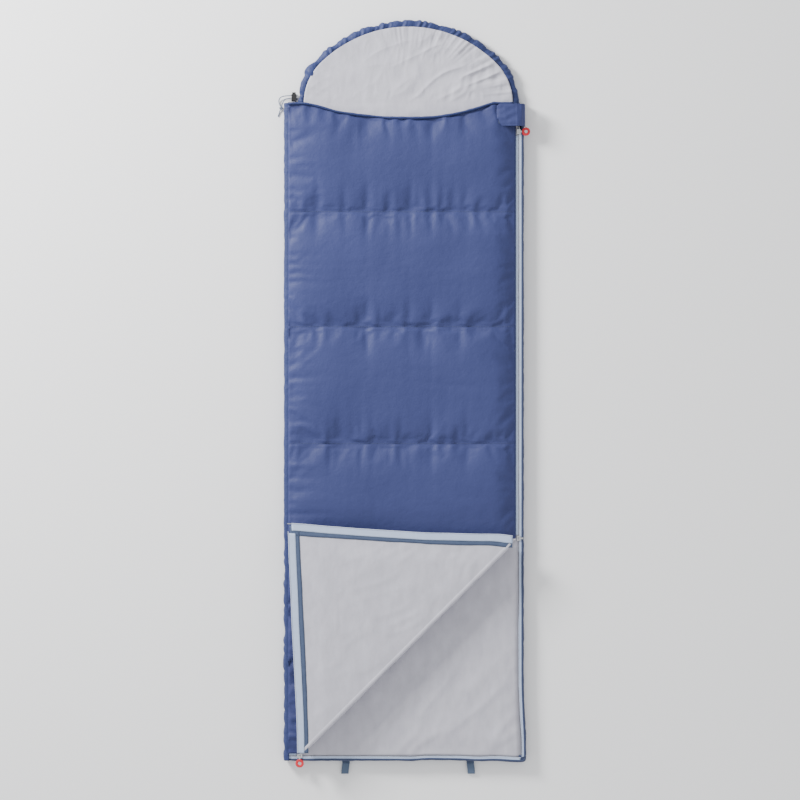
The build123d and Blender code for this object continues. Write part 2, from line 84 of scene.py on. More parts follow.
# node maths
class Socket:
    """A shader value that adds Math nodes when it is used in an expression."""

    def __init__(self, nodes: "NodeSheet", link: bpy.types.NodeSocket) -> None:
        """Keep the sheet and the output that this value comes from."""
        self.nodes = nodes
        self.link = link

    def _math(self, operation: str, first: object, second: object = 0.0) -> "Socket":
        """Add one Math node and return its value."""
        return self.nodes.add("ShaderNodeMath", {"operation": operation}, {0: first, 1: second})

    def __add__(self, other: object) -> "Socket":
        """Sum."""
        return self._math("ADD", self, other)

    __radd__ = __add__

    def __mul__(self, other: object) -> "Socket":
        """Product."""
        return self._math("MULTIPLY", self, other)

    __rmul__ = __mul__

    def wave(self) -> "Socket":
        """Sine of the value in radians."""
        return self._math("SINE", self)

    def higher(self, other: object) -> "Socket":
        """The larger of two values."""
        return self._math("MAXIMUM", self, other)


class NodeSheet:
    """The node tree of one material, with one method that adds any node."""

    def __init__(self, name: str) -> None:
        """Start a material that holds only its shader and its output."""
        self.material = bpy.data.materials.new(name)
        self.material.use_nodes = True
        self.tree = self.material.node_tree
        self.shader = next(n for n in self.tree.nodes if n.type == "BSDF_PRINCIPLED")

    def add(self, kind: str, settings: dict, inputs: dict, out: object = 0) -> Socket:
        """Add a node.

        Args:
            kind: Blender's name of the node type.
            settings: properties set before the sockets.
            inputs: values or Sockets by socket name or number.
            out: which output the returned Socket reads.

        Returns:
            The node's chosen output.
        """
        node = self.tree.nodes.new(kind)
        for key, value in settings.items():
            setattr(node, key, value)
        self.feed(node, inputs)
        return Socket(self, node.outputs[out])

    def place(self) -> Socket:
        """Object coordinates."""
        return self.add("ShaderNodeTexCoord", {}, {}, "Object")

    def noise(self, at: Socket, scale: float, detail: float = 3.0) -> Socket:
        """Fractal noise at a scale in repeats per metre."""
        return self.add("ShaderNodeTexNoise", {}, {"Vector": at, "Scale": scale, "Detail": detail})

    def part(self, at: Socket, axis: str) -> Socket:
        """One component of a vector."""
        return self.add("ShaderNodeSeparateXYZ", {}, {0: at}, axis)

    def weave(self, at: Socket, pitch: float) -> Socket:
        """Plain weave: the larger of two crossed sine waves."""
        turn = 2 * math.pi / pitch
        warp = (self.part(at, "X") * turn).wave()
        weft = (self.part(at, "Y") * turn).wave()
        return (warp * 0.5 + 0.5).higher(weft * 0.5 + 0.5)

    def blend(self, factor: Socket, low: Sequence[float], high: Sequence[float]) -> Socket:
        """A colour between two."""
        settings = {"data_type": "RGBA"}
        return self.add("ShaderNodeMix", settings, {0: factor, 6: (*low, 1.0), 7: (*high, 1.0)}, 2)

    def relief(self, height: Socket) -> None:
        """Drive the shader's normal with a height in metres."""
        self.set(Normal=self.add("ShaderNodeBump", {}, {"Height": height, "Distance": 1.0, "Strength": 1.0}))

    def feed(self, node: bpy.types.Node, values: dict) -> None:
        """Link a node's inputs to Sockets, or set them to plain values."""
        for key, value in values.items():
            if isinstance(value, Socket):
                self.tree.links.new(value.link, node.inputs[key])
            else:
                node.inputs[key].default_value = value

    def set(self, **values: object) -> None:
        """Feed the shader's own sockets; an underscore stands for a space."""
        self.feed(self.shader, {key.replace("_", " "): value for key, value in values.items()})


# finishes
Colour = tuple[float, float, float]


@dataclass(frozen=True)
class SatinShell:
    """Fine woven polyester of the shell, with a soft satin sheen and small unevenness of colour."""

    name: str = "satin_shell"
    dark: Colour = (0.026, 0.034, 0.115)
    light: Colour = (0.044, 0.055, 0.168)
    crinkle: float = 0.0012
    pitch: float = 0.0011

    def material(self) -> bpy.types.Material:
        """Weave and fine crinkles in the bump, a slow drift of colour, and sheen."""
        sheet = NodeSheet(self.name)
        at = sheet.place()
        drift = sheet.noise(at, 6.0, 4.0)
        fleck = sheet.noise(at, 900.0, 2.0)
        sheet.set(Base_Color=sheet.blend(drift * 0.8 + fleck * 0.2, self.dark, self.light))
        sheet.set(Roughness=sheet.noise(at, 45.0, 3.0) * 0.22 + 0.48)
        coarse = sheet.noise(at, 55.0, 5.0) * self.crinkle
        fine = sheet.noise(at, 160.0, 3.0) * (self.crinkle * 0.35)
        cloth = sheet.weave(at, self.pitch) * 0.00006
        sheet.relief(coarse + fine + cloth)
        sheet.set(Sheen_Weight=0.05, Sheen_Roughness=0.4, Specular_IOR_Level=0.28)
        sheet.shader.inputs["Sheen Tint"].default_value = (0.55, 0.65, 1.0, 1.0)
        return sheet.material


@dataclass(frozen=True)
class BrushedLining:
    """Soft brushed lining with a short nap and small rumples."""

    name: str = "brushed_lining"
    dark: Colour = (0.38, 0.375, 0.43)
    light: Colour = (0.60, 0.59, 0.66)
    rumple: float = 0.0016

    def material(self) -> bpy.types.Material:
        """Mottled nap in the colour, rumples and fibres in the bump."""
        sheet = NodeSheet(self.name)
        at = sheet.place()
        stretched = sheet.add("ShaderNodeMapping", {}, {"Vector": at, "Scale": (1.0, 0.45, 1.0)})
        nap = sheet.noise(stretched, 38.0, 5.0)
        fibre = sheet.noise(at, 1400.0, 2.0)
        sheet.set(Base_Color=sheet.blend(nap * 0.75 + fibre * 0.25, self.dark, self.light))
        sheet.relief(nap * self.rumple + fibre * 0.00025)
        sheet.set(Roughness=0.9, Sheen_Weight=0.12, Sheen_Roughness=0.6, Specular_IOR_Level=0.2)
        return sheet.material


@dataclass(frozen=True)
class WovenBand:
    """Woven tape, webbing or binding: ribs across a narrow band."""

    name: str
    dark: Colour
    light: Colour
    pitch: float = 0.0016
    depth: float = 0.00025
    roughness: float = 0.65

    def material(self) -> bpy.types.Material:
        """Ribs and weave in the bump; the colour follows the ribs, so each rib's hollow is a little darker as
        painted shade.
        """
        sheet = NodeSheet(self.name)
        at = sheet.place()
        ribs = sheet.weave(at, self.pitch)
        grime = sheet.noise(at, 60.0, 3.0)
        # Painted shade: the colour follows the rib height, so each hollow between ribs is darker.
        sheet.set(Base_Color=sheet.blend(ribs * 0.5 + grime * 0.5, self.dark, self.light))
        sheet.relief(ribs * self.depth + grime * 0.0004)
        sheet.set(Roughness=self.roughness, Sheen_Weight=0.15)
        return sheet.material


@dataclass(frozen=True)
class Moulded:
    """Moulded plastic or plated metal with fine wear in its roughness."""

    name: str
    colour: Colour
    roughness: float
    metallic: float = 0.0
    coat: float = 0.0

    def material(self) -> bpy.types.Material:
        """Even colour with a slight cloud, uneven roughness and a trace of surface grain."""
        sheet = NodeSheet(self.name)
        at = sheet.place()
        cloud = sheet.noise(at, 220.0, 3.0)
        low = tuple(c * 0.82 for c in self.colour)
        high = tuple(min(1.0, c * 1.12) for c in self.colour)
        sheet.set(Base_Color=sheet.blend(cloud, low, high))
        sheet.set(Roughness=cloud * 0.2 + (self.roughness - 0.1))
        sheet.relief(sheet.noise(at, 1500.0, 2.0) * 0.00004)
        sheet.set(Metallic=self.metallic, Coat_Weight=self.coat)
        return sheet.material


@dataclass(frozen=True)
class PlainFloor:
    """The pale studio floor."""

    name: str = "studio_floor"
    colour: Colour = (0.93, 0.93, 0.935)

    def material(self) -> bpy.types.Material:
        """Matt and even."""
        sheet = NodeSheet(self.name)
        sheet.set(Base_Color=(*self.colour, 1.0), Roughness=0.9)
        return sheet.material


SHELL = SatinShell()
# Painted shade: the gathered pieces wear a darker copy of the shell colour, standing in for the shade in
# their folds.
RUCHED_IN_SHADE = SatinShell("ruched_shell", (0.013, 0.022, 0.080), (0.036, 0.050, 0.155), 0.0026)
LINING = BrushedLining()
TAPE = WovenBand("zip_tape", (0.36, 0.45, 0.64), (0.50, 0.60, 0.80))
COIL = WovenBand("zip_coil", (0.42, 0.48, 0.62), (0.62, 0.68, 0.82), 0.0009, 0.0001, 0.4)
BINDING = WovenBand("slate_binding", (0.028, 0.046, 0.100), (0.066, 0.100, 0.185))
# Painted shade: the base's bound edge is dressed darker than its blue binding, standing in for the shade
# along the rim beside the tape; the corner tab wears the same colour.
SHADED_BINDING = WovenBand("navy_binding", (0.012, 0.022, 0.066), (0.032, 0.050, 0.125))
WEBBING = WovenBand("loop_webbing", (0.045, 0.075, 0.135), (0.10, 0.145, 0.225), 0.0022, 0.0004)
THREAD = WovenBand("seam_thread", (0.03, 0.045, 0.12), (0.06, 0.085, 0.18), 0.0008)
CORD = WovenBand("braided_cord", (0.10, 0.125, 0.19), (0.20, 0.235, 0.32), 0.0014, 0.0003)
HOOKS = WovenBand("hook_and_loop", (0.025, 0.035, 0.09), (0.05, 0.07, 0.15), 0.0012, 0.0006, 0.9)
NICKEL = Moulded("nickel_plate", (0.60, 0.61, 0.63), 0.28, metallic=1.0)
SPRING = Moulded("spring_steel", (0.5, 0.5, 0.5), 0.35, metallic=1.0)
RED = Moulded("red_ring", (0.62, 0.008, 0.022), 0.38, coat=0.2)
BLACK = Moulded("black_plastic", (0.012, 0.012, 0.014), 0.42)


# surfaces
def full_turn(count: int) -> Array:
    """Even angles once round, without the last one."""
    return np.linspace(0, 2 * np.pi, count + 1)[:-1]


def xyz(x: Array, y: Array, z: Array) -> Array:
    """Points from three arrays that broadcast together."""
    return np.stack(np.broadcast_arrays(x, y, z), -1)


def ramp(value: Array, low: float, high: float) -> Array:
    """Smooth step: 0 below low, 1 above high, 3t^2 - 2t^3 between."""
    t = np.clip((value - low) / (high - low), 0.0, 1.0)
    return t * t * (3 - 2 * t)


def ripple(u: Array, seed: int) -> Array:
    """Value noise along a line: random heights at whole numbers, joined by smooth steps, from -0.5 to 0.5."""
    heights = np.random.default_rng(seed).random(512) - 0.5
    cell = np.floor(u).astype(int)
    t = u - cell
    t = t * t * (3 - 2 * t)
    return heights[cell % 512] * (1 - t) + heights[(cell + 1) % 512] * t


def rumple(u: Array, v: Array, seed: int) -> Array:
    """Value noise over a plane: random heights at whole points, joined by smooth steps, from -0.5 to 0.5."""
    heights = np.random.default_rng(seed).random((128, 128)) - 0.5
    i, j = np.floor(u).astype(int), np.floor(v).astype(int)
    s, t = u - i, v - j
    s, t = s * s * (3 - 2 * s), t * t * (3 - 2 * t)
    near = heights[i % 128, j % 128] * (1 - s) + heights[(i + 1) % 128, j % 128] * s
    far = heights[i % 128, (j + 1) % 128] * (1 - s) + heights[(i + 1) % 128, (j + 1) % 128] * s
    return near * (1 - t) + far * t


def creases(x: Array, y: Array, length: float, width: float, angle: float, seed: int) -> Array:
    """Soft folds, strong in patches: stretched noise at an angle over a plane warped by slower noise."""
    warp_x = x + 0.6 * width * rumple(x / length, y / length, seed + 1)
    warp_y = y + 1.6 * width * rumple(x / length + 40, y / length, seed + 1)
    u = (warp_x * math.cos(angle) + warp_y * math.sin(angle)) / length
    v = (-warp_x * math.sin(angle) + warp_y * math.cos(angle)) / width
    patches = ramp(rumple(x / (1.6 * length), y / (1.6 * length) + 9, seed + 2), -0.25, 0.25)
    return ((1 - 2 * np.abs(rumple(u, v, seed))) ** 2 - 0.4) * (0.25 + 0.75 * patches)


def add_mesh(name: str, points: Array, faces: Sequence[Sequence[int]], finish: object) -> bpy.types.Object:
    """Make a smooth-shaded piece from points and faces, dressed in one finish."""
    mesh = bpy.data.meshes.new(name)
    mesh.from_pydata(points.reshape(-1, 3).tolist(), [], faces)
    mesh.polygons.foreach_set("use_smooth", [True] * len(mesh.polygons))
    mesh.materials.append(dressed(finish))
    piece = bpy.data.objects.new(name, mesh)
    bpy.context.scene.collection.objects.link(piece)
    return piece


MADE: dict[str, bpy.types.Material] = {}


def dressed(finish: object) -> bpy.types.Material:
    """The finish's material, made once."""
    if finish.name not in MADE:
        MADE[finish.name] = finish.material()
    return MADE[finish.name]


def grid_faces(rows: int, cols: int, round_rows: bool = False, round_cols: bool = False) -> Array:
    """The quads of a grid of points, counted row by row and turned so that X across and Y up face +Z."""
    i = np.arange(rows if round_rows else rows - 1)[:, None]
    j = np.arange(cols if round_cols else cols - 1)[None, :]
    up, right = (i + 1) % rows, (j + 1) % cols
    corners = [i * cols + j, i * cols + right, up * cols + right, up * cols + j]
    return np.stack([np.broadcast_to(c, (i.size, j.size)) for c in corners], -1).reshape(-1, 4)


def thicken(piece: bpy.types.Object, thickness: float, offset: float = -1.0) -> bpy.types.Object:
    """Give an open sheet its cloth thickness, so that it is closed."""
    wall = piece.modifiers.new("cloth", "SOLIDIFY")
    wall.thickness = thickness
    wall.offset = offset
    wall.use_even_offset = False
    return piece


def sheet_piece(name: str, points: Array, finish: object, thickness: float = 0.0008) -> bpy.types.Object:
    """A thickened cloth sheet over a grid of points."""
    rows, cols = points.shape[:2]
    return thicken(add_mesh(name, points, grid_faces(rows, cols).tolist(), finish), thickness)


def tube_piece(name: str, points: Array, finish: object) -> bpy.types.Object:
    """A closed tube: rows run along it, columns go round it, and each end is closed by one face."""
    rows, cols = points.shape[:2]
    faces = grid_faces(rows, cols, round_cols=True).tolist()
    faces.append(list(range(cols))[::-1])
    faces.append(list(range((rows - 1) * cols, rows * cols)))
    return add_mesh(name, points, faces, finish)


def along(path: Array, profile: Array, up: Array) -> Array:
    """Carry a profile along a path.

    The sideways direction at each point is the path's direction crossed with up.

    Args:
        path: points along the path, (n, 3).
        profile: (n, m, 2) or (m, 2) offsets sideways and upwards.
        up: the upward direction, (3,).

    Returns:
        Points of shape (n, m, 3).
    """
    direction = np.gradient(path, axis=0)
    direction /= np.linalg.norm(direction, axis=-1, keepdims=True)
    side = np.cross(direction, up)
    side /= np.linalg.norm(side, axis=-1, keepdims=True)
    profile = np.broadcast_to(profile, (len(path),) + profile.shape[-2:])
    return path[:, None] + side[:, None] * profile[..., :1] + np.asarray(up) * profile[..., 1:]


def smooth_profile(corners: Sequence[tuple[float, float]], count: int) -> Array:
    """Even points on a smooth line through corners: linear over the chord length, then averaged twice."""
    raw = np.array(corners)
    reach = np.concatenate([[0], np.cumsum(np.linalg.norm(np.diff(raw, axis=0), axis=1))])
    at = np.linspace(0, reach[-1], count)
    line = np.stack([np.interp(at, reach, raw[:, k]) for k in range(2)], -1)
    for _ in range(2):
        line[1:-1] = (line[:-2] + 2 * line[1:-1] + line[2:]) / 4
    return line


@dataclass(frozen=True)
class ClothRun:
    """How a pinned cloth is blown up and gathered."""

    pressure: float
    growth: float
    frames: int
    bending: float = 0.6
    quality: int = 5
    mass: float = 0.15
    stretch: float = 20.0
    shear: float = 8.0

    def settle(self, points: Array, pinned: Array) -> Array:
        """Run the cloth and return its settled points.

        Args:
            points: the starting grid, (rows, cols, 3).
            pinned: which points stay where they are.
        """
        rows, cols = points.shape[:2]
        piece = add_mesh("cloth_trial", points, grid_faces(rows, cols).tolist(), SHELL)
        group = piece.vertex_groups.new(name="pinned")
        group.add(np.flatnonzero(pinned.ravel()).tolist(), 1.0, "REPLACE")
        cloth = piece.modifiers.new("cloth", "CLOTH")
        cloth.point_cache.frame_end = self.frames
        s = cloth.settings
        s.vertex_group_mass = "pinned"
        s.quality, s.mass, s.air_damping = self.quality, self.mass, 2.0
        s.tension_stiffness = s.compression_stiffness = self.stretch
        s.shear_stiffness, s.bending_stiffness = self.shear, self.bending
        s.tension_damping = s.compression_damping = 10.0
        s.shear_damping, s.bending_damping = 8.0, 0.5
        s.use_pressure, s.uniform_pressure_force = True, self.pressure
        s.shrink_min = -self.growth
        s.effector_weights.gravity = 0.0
        for frame_number in range(1, self.frames + 1):
            bpy.context.scene.frame_set(frame_number)
        settled = piece.evaluated_get(bpy.context.evaluated_depsgraph_get())
        flat = np.zeros(rows * cols * 3)
        settled.data.vertices.foreach_get("co", flat)
        bpy.context.scene.frame_set(1)
        bpy.data.objects.remove(piece)
        return flat.reshape(rows, cols, 3)


# the bag's layout
@dataclass
class Layout:
    """Places that several assemblies share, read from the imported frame."""

    slack_x: float = -0.030
    slack_y: float = 0.038
    first_seam: float = 0.322
    panel_pitch: float = 0.345

    def __post_init__(self) -> None:
        """Measure the frame."""
        low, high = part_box("base_shell")
        self.half, self.foot, self.neck = high.x, low.y, high.y
        low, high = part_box("cover_lining")
        self.left, self.cover_foot = low.x, low.y
        self.right = high.x
        axis = next(j for j in FRAME["joints"] if j["name"] == "corner_fold")["pos_m"]
        self.fold, self.fold_z = axis[0] - axis[1], axis[2]
        self.zip_x = middle("upper_slider_body")[0]
        self.upper_y = middle("upper_slider_body")[1]
        self.lower_y = middle("lower_slider_body")[1]
        self.slider_x, self.zip_y = middle("foot_slider_body")[:2]
        self.seams = np.array([self.neck - self.first_seam - self.panel_pitch * i for i in range(5)])

    def turned(self, points: Array) -> Array:
        """Half a turn about the fold line: x and y swap through it and z is mirrored about its height."""
        x, y, z = points[..., 0], points[..., 1], points[..., 2]
        return xyz(y + self.fold, x - self.fold, 2 * self.fold_z - z)

    def slack(self, points: Array) -> Array:
        """Pull the loose corner's cloth towards its tip, more with the distance from the fold line."""
        x, y = points[..., 0], points[..., 1]
        far = np.clip((y - x + self.fold) / (self.right - self.cover_foot - self.fold), 0, 1)
        weight = far**1.25
        shift = np.zeros_like(points)
        shift[..., 0] = self.slack_x * weight
        shift[..., 1] = self.slack_y * weight + 0.006 * ramp(x, 0.1, 0.33) * ramp(far, 0.0, 0.1)
        return points + shift

    def corner(self, points: Array) -> Array:
        """Lay cloth drawn as part of the closed cover on the turned-back corner."""
        return self.slack(self.turned(points))


FRAME: dict = {}


def middle(node: str) -> tuple[float, float, float]:
    """The middle of a CAD node's box."""
    low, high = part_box(node)
    return tuple((low + high) / 2)


def put(piece: bpy.types.Object, body: str, slot: str, *nodes: str) -> bpy.types.Object:
    """Let a piece ride on a body and hide the CAD nodes that it stands for."""
    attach(piece, body)
    if nodes:
        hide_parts(*nodes)
    LOG.info("%s rides on %s: %d points", piece.name, body, len(piece.data.vertices))
    return piece


@dataclass
class CoverQuilt:
    """The upper quilt: shell puffed between its seams and lining; cut along the fold line. Its facing is made
    with the zips.
    """

    plan: Layout
    step: float = 0.006
    seam_z: float = 0.0425
    edge_z: float = 0.0335
    lining_z: float = 0.0325
    crest: float = 0.0260
    under_corner: float = 0.0572
    puff: float = 0.006
    pucker: float = 0.009
    pucker_reach: float = 0.050
    crumple: float = 0.0062
    evened: float = 0.82
    stitch: float = 0.0036
    stitch_pitch: float = 0.0052
    thread: float = 0.00045
    run: ClothRun = ClothRun(pressure=1.2, growth=0.022, frames=14)

    def neck_line(self, x: Array) -> Array:
        """Where the neck edge lies: a scoop that is 0 beyond 0.29 m from the middle, steeper to the right."""
        centre = 0.01
        reach = np.where(x < centre, 0.30, 0.255)
        across = np.clip(np.abs(x - centre) / reach, 0, 1)
        return self.plan.neck - 0.001 - 0.044 * (1 - across**2.1) - 0.003 * ripple(x / 0.05, 71)

    def grid(self) -> tuple[Array, Array]:
        """Points of the whole closed cover, with the fold line running through grid points."""
        plan = self.plan
        x0 = plan.left + 0.001
        x = x0 + self.step * np.arange(round((plan.right - x0) / self.step) + 1)
        y0 = plan.cover_foot
        y0 = x0 - plan.fold + self.step * round((y0 - x0 + plan.fold) / self.step)
        y = y0 + self.step * np.arange(round((plan.neck - 0.011 - y0) / self.step) + 1)
        return np.meshgrid(x, y)

    def shell_points(self) -> Array:
        """The settled shell.

        Height starts at the seams' level and rises in each chamber as sin(pi t) to the power 0.6; it falls
        to the zip edges; puckers are noise along each seam that fades over 5 cm. The cloth run gathers it.
        """
        plan, step = self.plan, self.step
        x, y = self.grid()
        lines = np.concatenate([[y.max()], plan.seams, [y.min()]])
        chamber = np.clip(np.searchsorted(-lines, -y, side="left") - 1, 0, len(lines) - 2)
        above, below = lines[chamber], lines[chamber + 1]
        t = np.clip((y - below) / (above - below), 0, 1)
        nearest = np.where(t > 0.5, chamber, chamber + 1)
        gap = np.abs(y - lines[nearest])
        puckers = np.zeros_like(x)
        for seam in range(len(lines)):
            wave = ripple((x + 2) / 0.021, 5 + seam) + 0.6 * ripple((x + 2) / 0.047, 25 + seam)
            puckers += np.where(nearest == seam, wave, 0)
        to_side = np.minimum((x - x.min()) / 0.05, (x.max() - x) / 0.05)
        swell = np.sin(np.pi * t) ** 0.6 * np.sin(np.pi / 2 * np.clip(to_side, 0, 1))
        edge = np.minimum(x.max() - x, y - y.min())
        base = self.seam_z + (self.edge_z - self.seam_z) * (1 - ramp(edge, 0.0, 0.035))
        fold = puckers * np.exp(-gap / self.pucker_reach) * self.pucker * ramp(edge, 0, 0.03)
        ruche = ripple((y + 3) / 0.013, 91) * np.exp(-(x - x.min()) / 0.03) * 0.006
        points = xyz(x, y, base + self.puff * swell + fold + ruche)
        slid = x + 2 + 0.37 * nearest
        wander = 0.0016 * ripple(slid / 0.09, 40) + 0.0008 * ripple(slid / 0.025, 41)
        seam = gap < step * 0.51
        inside = (nearest > 0) & (nearest < len(lines) - 1)
        points[..., 1] += np.where(inside, wander * np.exp(-gap / 0.03), 0)
        held = seam | (np.minimum(x - x.min(), x.max() - x) < step / 2)
        held |= np.minimum(y - y.min(), y.max() - y) < step / 2
        points[..., 2] = np.where(held, base, points[..., 2])
        settled = self.run.settle(points, held)
        return self.pressed(points, settled, base)

    def pressed(self, start: Array, settled: Array, base: Array) -> Array:
        """Ease the swollen chambers down to the bag's real loft, and flat enough where the corner lies.

        Away from the seams, long folds are averaged out over 12 cm; the puckers at the seams stay.
        """
        from_left = start[..., 0] - start[..., 0].min()
        from_right = start[..., 0].max() - start[..., 0]
        loft = settled[..., 2] - base
        y = settled[..., 1]
        lines = np.concatenate([[start[..., 1].max()], self.plan.seams, [start[..., 1].min()]])
        away = np.min(np.abs(start[..., 1][..., None] - lines), -1)
        padded = np.pad(loft, ((0, 0), (10, 10)), mode="reflect")
        even = np.stack([padded[:, k : k + loft.shape[1]] for k in range(21)]).mean(0)
        inner = ramp(from_left, 0.03, 0.10) * ramp(from_right, 0.03, 0.10)
        loft = loft + (even - loft) * self.evened * ramp(away, 0.030, 0.105) * inner
        room = np.where(loft > 0, self.crest * np.tanh(loft * 0.85 / self.crest), loft * 0.5)
        covered = ramp(-y, 0.33, 0.42)
        limit = self.under_corner - base
        low = limit * np.tanh(np.maximum(room, 0) / np.maximum(limit, 1e-4) * 0.8) + np.minimum(room, 0)
        points = settled.copy()
        points[..., 2] = base + room * (1 - covered) + low * covered
        top = ramp(start[..., 1], self.plan.seams[0] + 0.08, start[..., 1].max())
        points[..., 1] += top * (self.neck_line(start[..., 0]) - start[..., 1].max())
        left = np.exp(-from_left / 0.040) * ramp(-y, 0.36, 0.46)
        slant = start[..., 1] + 0.35 * start[..., 0] + 3
        crumple = ripple(slant / 0.012, 94) + 0.8 * ripple(slant / 0.027, 95)
        crumple = crumple + rumple(start[..., 0] / 0.014, slant / 0.02, 96)
        points[..., 2] += self.crumple * crumple * left * ramp(from_left, 0.0, 0.008)
        points[..., 2] = np.maximum(points[..., 2], self.lining_z + 0.0010)
        return points

    def halves(self, points: Array) -> tuple[list, list]:
        """Faces above and below the fold line, with the cells on the line cut into triangles."""
        rows, cols = points.shape[:2]
        x, y = self.grid()
        side = np.rint((y - x + self.plan.fold) / self.step).ravel()
        faces = grid_faces(rows, cols)
        worth = side[faces]
        upper = faces[(worth >= 0).all(-1)].tolist()
        lower = faces[(worth <= 0).all(-1)].tolist()
        cut = faces[(worth > 0).any(-1) & (worth < 0).any(-1)]
        upper += cut[:, [0, 2, 3]].tolist()
        lower += cut[:, [0, 1, 2]].tolist()
        return upper, lower

    def part(self, name: str, points: Array, faces: list, finish: object) -> bpy.types.Object:
        """A sheet from some of a grid's faces, with the unused points left out."""
        index = np.array([corner for face in faces for corner in face])
        used = np.unique(index)
        place = np.full(points.reshape(-1, 3).shape[0], -1)
        place[used] = np.arange(len(used))
        compact = [[int(place[corner]) for corner in face] for face in faces]
        return thicken(add_mesh(name, points.reshape(-1, 3)[used], compact, finish), 0.0009)

    def lining_points(self) -> Array:
        """The lining of the whole closed cover: nearly flat, with soft folds on its lower side."""
        x, y = self.grid()
        plan = self.plan
        soft = creases(x, y, 0.16, 0.045, 0.6, 60) * 0.0012
        z = self.lining_z - 0.0010 - np.abs(soft)
        y = y + ramp(y, plan.seams[0] + 0.08, y.max()) * (self.neck_line(x) - y.max())
        return xyz(np.minimum(x, x.max() - 0.002), y, z)

    def corner_lining(self) -> Array:
        """The lining on the loose corner, drawn closed: it swells away from the fill and rumples.

        Swelling is a flat-topped bump over the distance from the edges; folds are turned, stretched noise.
        """
        x, y = self.grid()
        plan = self.plan
        edge = np.minimum(plan.right - 0.031 - x, y - plan.cover_foot - 0.031)
        fold = (plan.fold + y - x) * -1 / math.sqrt(2)
        puff = ramp(edge, -0.002, 0.05) * (0.004 + ramp(fold, 0.0, 0.04) * 0.001)
        soft = creases(x, y, 0.13, 0.030, 1.1, 11) * 0.0034 + creases(x, y, 0.05, 0.016, 0.3, 14) * 0.0018
        strong = 0.45 + 0.9 * ramp(y, -0.80, -0.55) * ramp(x, -0.05, 0.2)
        ruche = ripple((x - y) / 0.012, 93) * np.exp(-np.abs(edge) / 0.018) * 0.0022
        loose = ramp(edge, -0.004, 0.02) * (0.1 + 0.9 * ramp(fold, 0.004, 0.035))
        z = self.lining_z - 0.0012 - puff - (soft * strong + ruche) * loose
        return xyz(x, y, z)

    def build(self) -> None:
        """Make the cover's and the corner's cloth."""
        plan = self.plan
        shell = self.shell_points()
        upper, lower = self.halves(shell)
        cover = self.part("cover_shell_cloth", shell, upper, SHELL)
        put(cover, "cover", "shell_blue", "cover_shell", "cover_fill")
        corner = self.part("corner_shell_cloth", plan.corner(shell), lower, SHELL)
        put(corner, "corner", "shell_blue", "corner_shell", "corner_fill")
        lining = self.lining_points()
        under = [face[::-1] for face in upper]
        put(self.part("cover_lining_cloth", lining, under, LINING), "cover", "lining_grey", "cover_lining")
        loose = plan.corner(self.corner_lining())
        under = [face[::-1] for face in lower]
        put(self.part("corner_lining_cloth", loose, under, LINING), "corner", "lining_grey", "corner_lining")
        self.build_neck(shell)
        self.build_roll()
        self.build_stitches(shell)

    def build_neck(self, shell: Array) -> None:
        """The bound neck edge: a soft roll that follows the shell's last row, gathered every 1 to 2 cm."""
        edge = shell[-1][::2].copy()
        x = edge[:, 0]
        angle = full_turn(12)
        gather = 1 + 0.35 * ripple((x + 2) / 0.008, 17)[:, None]
        profile = np.stack([0.0042 * np.cos(angle) * gather, 0.009 * np.sin(angle) * gather], -1)
        edge[:, 2] = 0.0425 + 0.001 * ripple((x + 2) / 0.03, 18)
        points = along(edge, profile[:, ::-1], UP)
        put(tube_piece("neck_binding_roll", points[:, ::-1], RUCHED_IN_SHADE), "cover", "shell_blue", "neck_piping")

    def build_roll(self) -> None:
        """The lining's turn at the fold: a flattened half tube from the cover's lining to the corner's."""
        plan = self.plan
        start, end = plan.cover_foot + plan.fold + 0.014, plan.right - 0.016
        x = np.arange(start, end, 0.006)
        angle = np.concatenate([np.linspace(-np.pi / 2, np.pi / 2, 17), [np.pi / 2] * 3])
        reach = 0.0050 + 0.0030 * ripple((x + 2) / 0.05, 33) + 0.0014 * ripple((x + 2) / 0.014, 34)
        edge = np.minimum(plan.right - 0.031 - x, x - plan.fold - plan.cover_foot - 0.031)
        over = plan.fold_z - self.lining_z + 0.0015 + 0.004 * ramp(edge, -0.002, 0.05)
        under = plan.fold_z - self.lining_z + 0.0006
        rise = np.where(angle > 0, over[:, None], under)
        out = reach[:, None] * np.cos(angle) - 0.0005
        out[:, -3:] -= np.array([0.0025, 0.005, 0.0075])
        out = out / math.sqrt(2)
        points = xyz(x[:, None] + out, x[:, None] - plan.fold - out, plan.fold_z + rise * np.sin(angle))
        points[:, -3:, 2] -= np.array([0.0, 0.0002, 0.0006])
        roll = sheet_piece("fold_lining_roll", points, LINING)
        top = 2 * plan.fold_z - self.lining_z
        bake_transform(roll)
        LOG.info("%s bends between cover and corner", roll.name)

    def build_stitches(self, shell: Array) -> None:
        """The quilting thread: short six-sided stitches that follow each seam's row in the shell."""
        plan = self.plan
        _, y = self.grid()
        turn = full_turn(6)
        points, faces = [], []
        for seam in plan.seams:
            row = shell[int(np.argmin(np.abs(y[:, 0] - seam)))]
            end = min(plan.right, seam + plan.fold) - 0.010
            for start in np.arange(plan.left + 0.010, end, self.stitch_pitch):
                at = np.linspace(start, start + self.stitch, 4)
                line = xyz(at, *(np.interp(at, row[:, 0], row[:, k]) for k in (1, 2)))
                size = np.array([0.3, 1.0, 1.0, 0.3])[:, None] * self.thread
                ring = xyz(0.0, size * np.cos(turn), size * np.sin(turn) + 0.0005)
                first = sum(len(p) for p in points)
                points.append((line[:, None] + ring).reshape(-1, 3))
                quads = grid_faces(4, 6, round_cols=True)[:, ::-1] + first
                ends = [list(range(first, first + 6))[::-1], list(range(first + 18, first + 24))]
                faces += quads.tolist() + ends
        piece = add_mesh("quilting_stitches", np.concatenate(points), faces, THREAD)
        put(piece, "cover", "thread_blue", "cover_quilting_thread")


